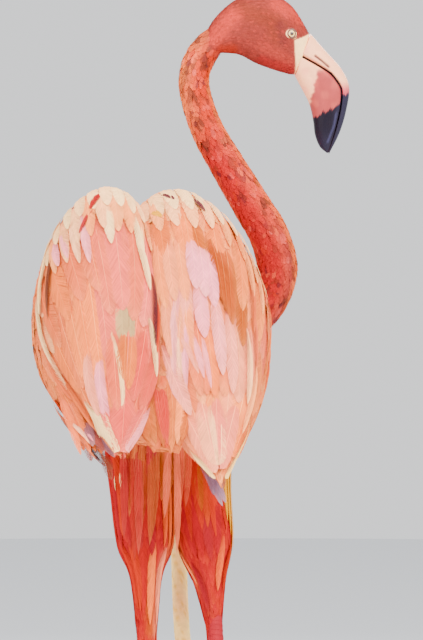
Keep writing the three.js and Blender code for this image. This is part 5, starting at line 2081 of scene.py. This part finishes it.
@dataclass
class Eyes:
    """Both eyes: a pale iris, a tan ring and a small pupil, under a wet cornea."""

    around: int = 48
    down: int = 40
    bulge: float = 0.35
    rings: tuple[tuple[float, str], ...] = (
        (1.1, "#100D0D"), (2.1, "#754D27"), (3.1, "#F6D47A"), (3.6, "#63382A"), (6.2, "#63382A")
    )

    def build(self) -> list[Object]:
        """The left eye, towards -Y, and the right one."""
        finish = CORNEA.material()
        made = []
        for side in Side:
            points, faces = self.ball(-side.value)
            from_axis = np.hypot(points[:, 0] - EYE_PLACE[0], points[:, 2] - EYE_PLACE[1])
            colours = np.broadcast_to(shade(self.rings[0][1]), points.shape)
            for (radius, _), (_, colour) in zip(self.rings[:-1], self.rings[1:]):
                colours = mix(colours, shade(colour), ramp(from_axis, radius - 0.15, radius + 0.15))
            made.append(finished(f"eye_{side.word}_ball", points, faces, colours, finish))
        return made

    def ball(self, sign: int) -> Pair:
        """A ball whose rings lie round the way it looks, its cornea bulging a little.

        Args:
            sign: The side of the head's middle plane, +1 towards +Y.

        Returns:
            Its points and faces.
        """
        centre = (EYE_PLACE[0], HEAD_Y + sign * EYE_STAND, EYE_PLACE[1])
        depth = EYE_RADIUS * np.cos(np.linspace(0.999, 0.001, self.down + 1) * np.pi)
        radius = np.sqrt(EYE_RADIUS**2 - depth**2)
        out = depth + self.bulge * np.exp(-((radius / 3.0) ** 2)) * (depth > 0)
        path = np.stack([0 * out + centre[0], centre[1] + sign * out, 0 * out + centre[2]], -1)
        turn = np.arange(self.around) / self.around * 2 * np.pi
        ring = np.stack([np.cos(turn), 0 * turn, np.sin(turn)], -1)
        points = (path[:, None] + radius[:, None, None] * ring).reshape(-1, 3)
        i, j = (g.ravel() for g in np.meshgrid(np.arange(self.down), np.arange(self.around), indexing="ij"))
        row, after, k = i * self.around, (i + 1) * self.around, (j + 1) % self.around
        quads = np.stack([row + j, after + j, after + k, row + k], -1)
        j, last, n = np.arange(self.around), self.down * self.around, len(points)
        k = (j + 1) % self.around
        caps = np.concatenate([
            np.stack([k, 0 * k + n, j, 0 * k - 1], -1),
            np.stack([last + j, 0 * j + n + 1, last + k, 0 * j - 1], -1),
        ])
        faces = np.concatenate([quads, caps])
        return np.concatenate([points, path[[0, -1]]]), faces if sign > 0 else faces_turned(faces)


def build_claws() -> list[Object]:
    """The claws, one piece for each foot."""
    finish = CLAW.material()
    made = []
    for side, foot in FEET.items():
        points, faces = joined([foot.nail(*toe).shell(20, 24) for toe in foot.toes])
        colours = layered(points, "#2B2425", ("#1A1518", ramp(points[:, 1], -40, -110)))
        made.append(finished(f"claws_{side.word}", points, faces, colours, finish))
    return made


# ---------------------------------------------------------------- studio
@dataclass
class Studio:
    """A plain pale floor, soft lamps and the camera."""

    azimuth: float = 173.0
    elevation: float = 2.0
    distance: float = 4.0
    lens: float = 225.0
    target: Place = (-0.061, -0.040, 0.752)
    lit: Place = (-0.03, 0, 0.7)
    lamp_distance: float = 2.8
    floor_radii: Spot = (600.0, 6000.0)
    around: int = 96

    def build(self) -> Object:
        """Sets the world, lamps, camera and floor.

        Returns:
            The floor, which is not part of the bird.
        """
        self.world()
        self.camera()
        for name, azimuth, elevation, size, power in (
            ("key", 205, 40, 2.4, 230.0),
            ("fill", 135, 18, 2.8, 130.0),
            ("front", -10, 35, 2.4, 140.0),
            ("top", 170, 85, 2.0, 60.0),
        ):
            self.lamp(name, azimuth, elevation, size, power)
        return self.floor()

    def way(self, azimuth: float, elevation: float) -> Vector:
        """The direction from the bird towards an azimuth and elevation in degrees."""
        a, e = math.radians(azimuth), math.radians(elevation)
        return Vector((math.sin(a) * math.cos(e), -math.cos(a) * math.cos(e), math.sin(e)))

    def world(self) -> None:
        """An even pale surround."""
        world = bpy.data.worlds.new("studio")
        world.use_nodes = True
        world.node_tree.nodes["Background"].inputs["Color"].default_value = (*linear("#e9eaec"), 1)
        world.node_tree.nodes["Background"].inputs["Strength"].default_value = 1.4
        bpy.context.scene.world = world

    def camera(self) -> None:
        """The view: from behind and a little to the bird's left, level with its body."""
        made = bpy.data.objects.new("camera", bpy.data.cameras.new("camera"))
        made.data.lens, made.data.sensor_width, made.data.clip_end = self.lens, 36.0, 50.0
        made.location = Vector(self.target) + self.distance * self.way(self.azimuth, self.elevation)
        made.rotation_euler = (Vector(self.target) - made.location).to_track_quat("-Z", "Y").to_euler()
        bpy.context.scene.collection.objects.link(made)
        bpy.context.scene.camera = made

    def lamp(self, name: str, azimuth: float, elevation: float, size: float, power: float) -> None:
        """A soft square lamp aimed at the bird."""
        made = bpy.data.objects.new(name, bpy.data.lights.new(name, "AREA"))
        made.data.size, made.data.energy = size, power
        made.location = Vector(self.lit) + self.lamp_distance * self.way(azimuth, elevation)
        made.rotation_euler = (Vector(self.lit) - made.location).to_track_quat("-Z", "Y").to_euler()
        bpy.context.scene.collection.objects.link(made)

    def floor(self) -> Object:
        """A round pale floor."""
        n = self.around
        turn = np.arange(n) / n * 2 * np.pi
        rings = [np.stack([r * np.cos(turn), r * np.sin(turn), 0 * turn], -1) for r in self.floor_radii]
        points = np.concatenate([*rings, [[0, 0, 0]]])
        j, k = np.arange(n), (np.arange(n) + 1) % n
        ring, disc = np.stack([j, j + n, k + n, k], -1), np.stack([j, k, 0 * j + 2 * n, 0 * j - 1], -1)
        faces = np.concatenate([ring, disc])
        mesh = mesh_from("floor", points, faces)
        finish = bpy.data.materials.new("studio_floor_matt_paint")
        finish.use_nodes = True
        shader = finish.node_tree.nodes["Principled BSDF"]
        shader.inputs["Base Color"].default_value = (*linear("#dadcdf"), 1)
        shader.inputs["Roughness"].default_value = 0.9
        mesh.materials.append(finish)
        return piece("floor", mesh)


FLESH = ["trunk", "wing_left", "wing_right", "tail", "neck_lower", "neck_middle", "neck_upper", "head"] + [
    f"{part}_{side.word}"
    for side in Side
    for part in (
        "thigh", "shank", "ankle", "tarsus", "toe_middle", "toe_inner", "toe_outer", "toe_hind", "web_inner",
        "web_outer",
    )
]


def main() -> None:
    """Builds the bird, piece by piece, in its studio."""
    logging.basicConfig(level=logging.INFO, format="%(message)s")
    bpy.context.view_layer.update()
    Studio().build()

    skin = Skin().build()
    skin.data.materials.append(HIDE.material())
    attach(skin, "root")
    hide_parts(*FLESH)
    log.info("skin: %d faces", len(skin.data.polygons))
    tree = BVHTree.FromPolygons(
        [v.co for v in skin.data.vertices], [tuple(p.vertices) for p in skin.data.polygons]
    )

    for made, node, slot in zip(
        Bill().build() + Eyes().build() + build_claws(),
        (
            ["bill_upper"], ["bill_lower"], ["eye_left"], ["eye_right"],
            *[[f"claw_{toe}_{side.word}" for toe in ("middle", "inner", "outer")] for side in FEET],
        ),
        ("bill_horn", "bill_horn", "eye", "eye", "claw_horn", "claw_horn"),
    ):
        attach(made, "root")
        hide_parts(*node)
        log.info("%s: %d faces", made.name, len(made.data.polygons))

    for made, slot in (
        (leg_scutes(Side.LEFT), "leg_skin"), (leg_scutes(Side.RIGHT), "leg_skin"), (lamellae(), "bill_horn")
    ):
        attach(made, "root")
        log.info("%s: %d faces", made.name, len(made.data.polygons))

    coats = [trunk_coat(), tail_coat(), neck_coat(), head_coat()]
    for side in Side:
        coats += [wing_coat(side), thigh_coat(side), primaries(side)]
    for i, coat in enumerate(coats):
        made = coat.build(tree, i)
        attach(made, "root")
        if made.name.startswith("flight_feathers"):
            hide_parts(made.name.replace("flight_feathers", "primaries"))


if __name__ == "__main__":
    main()
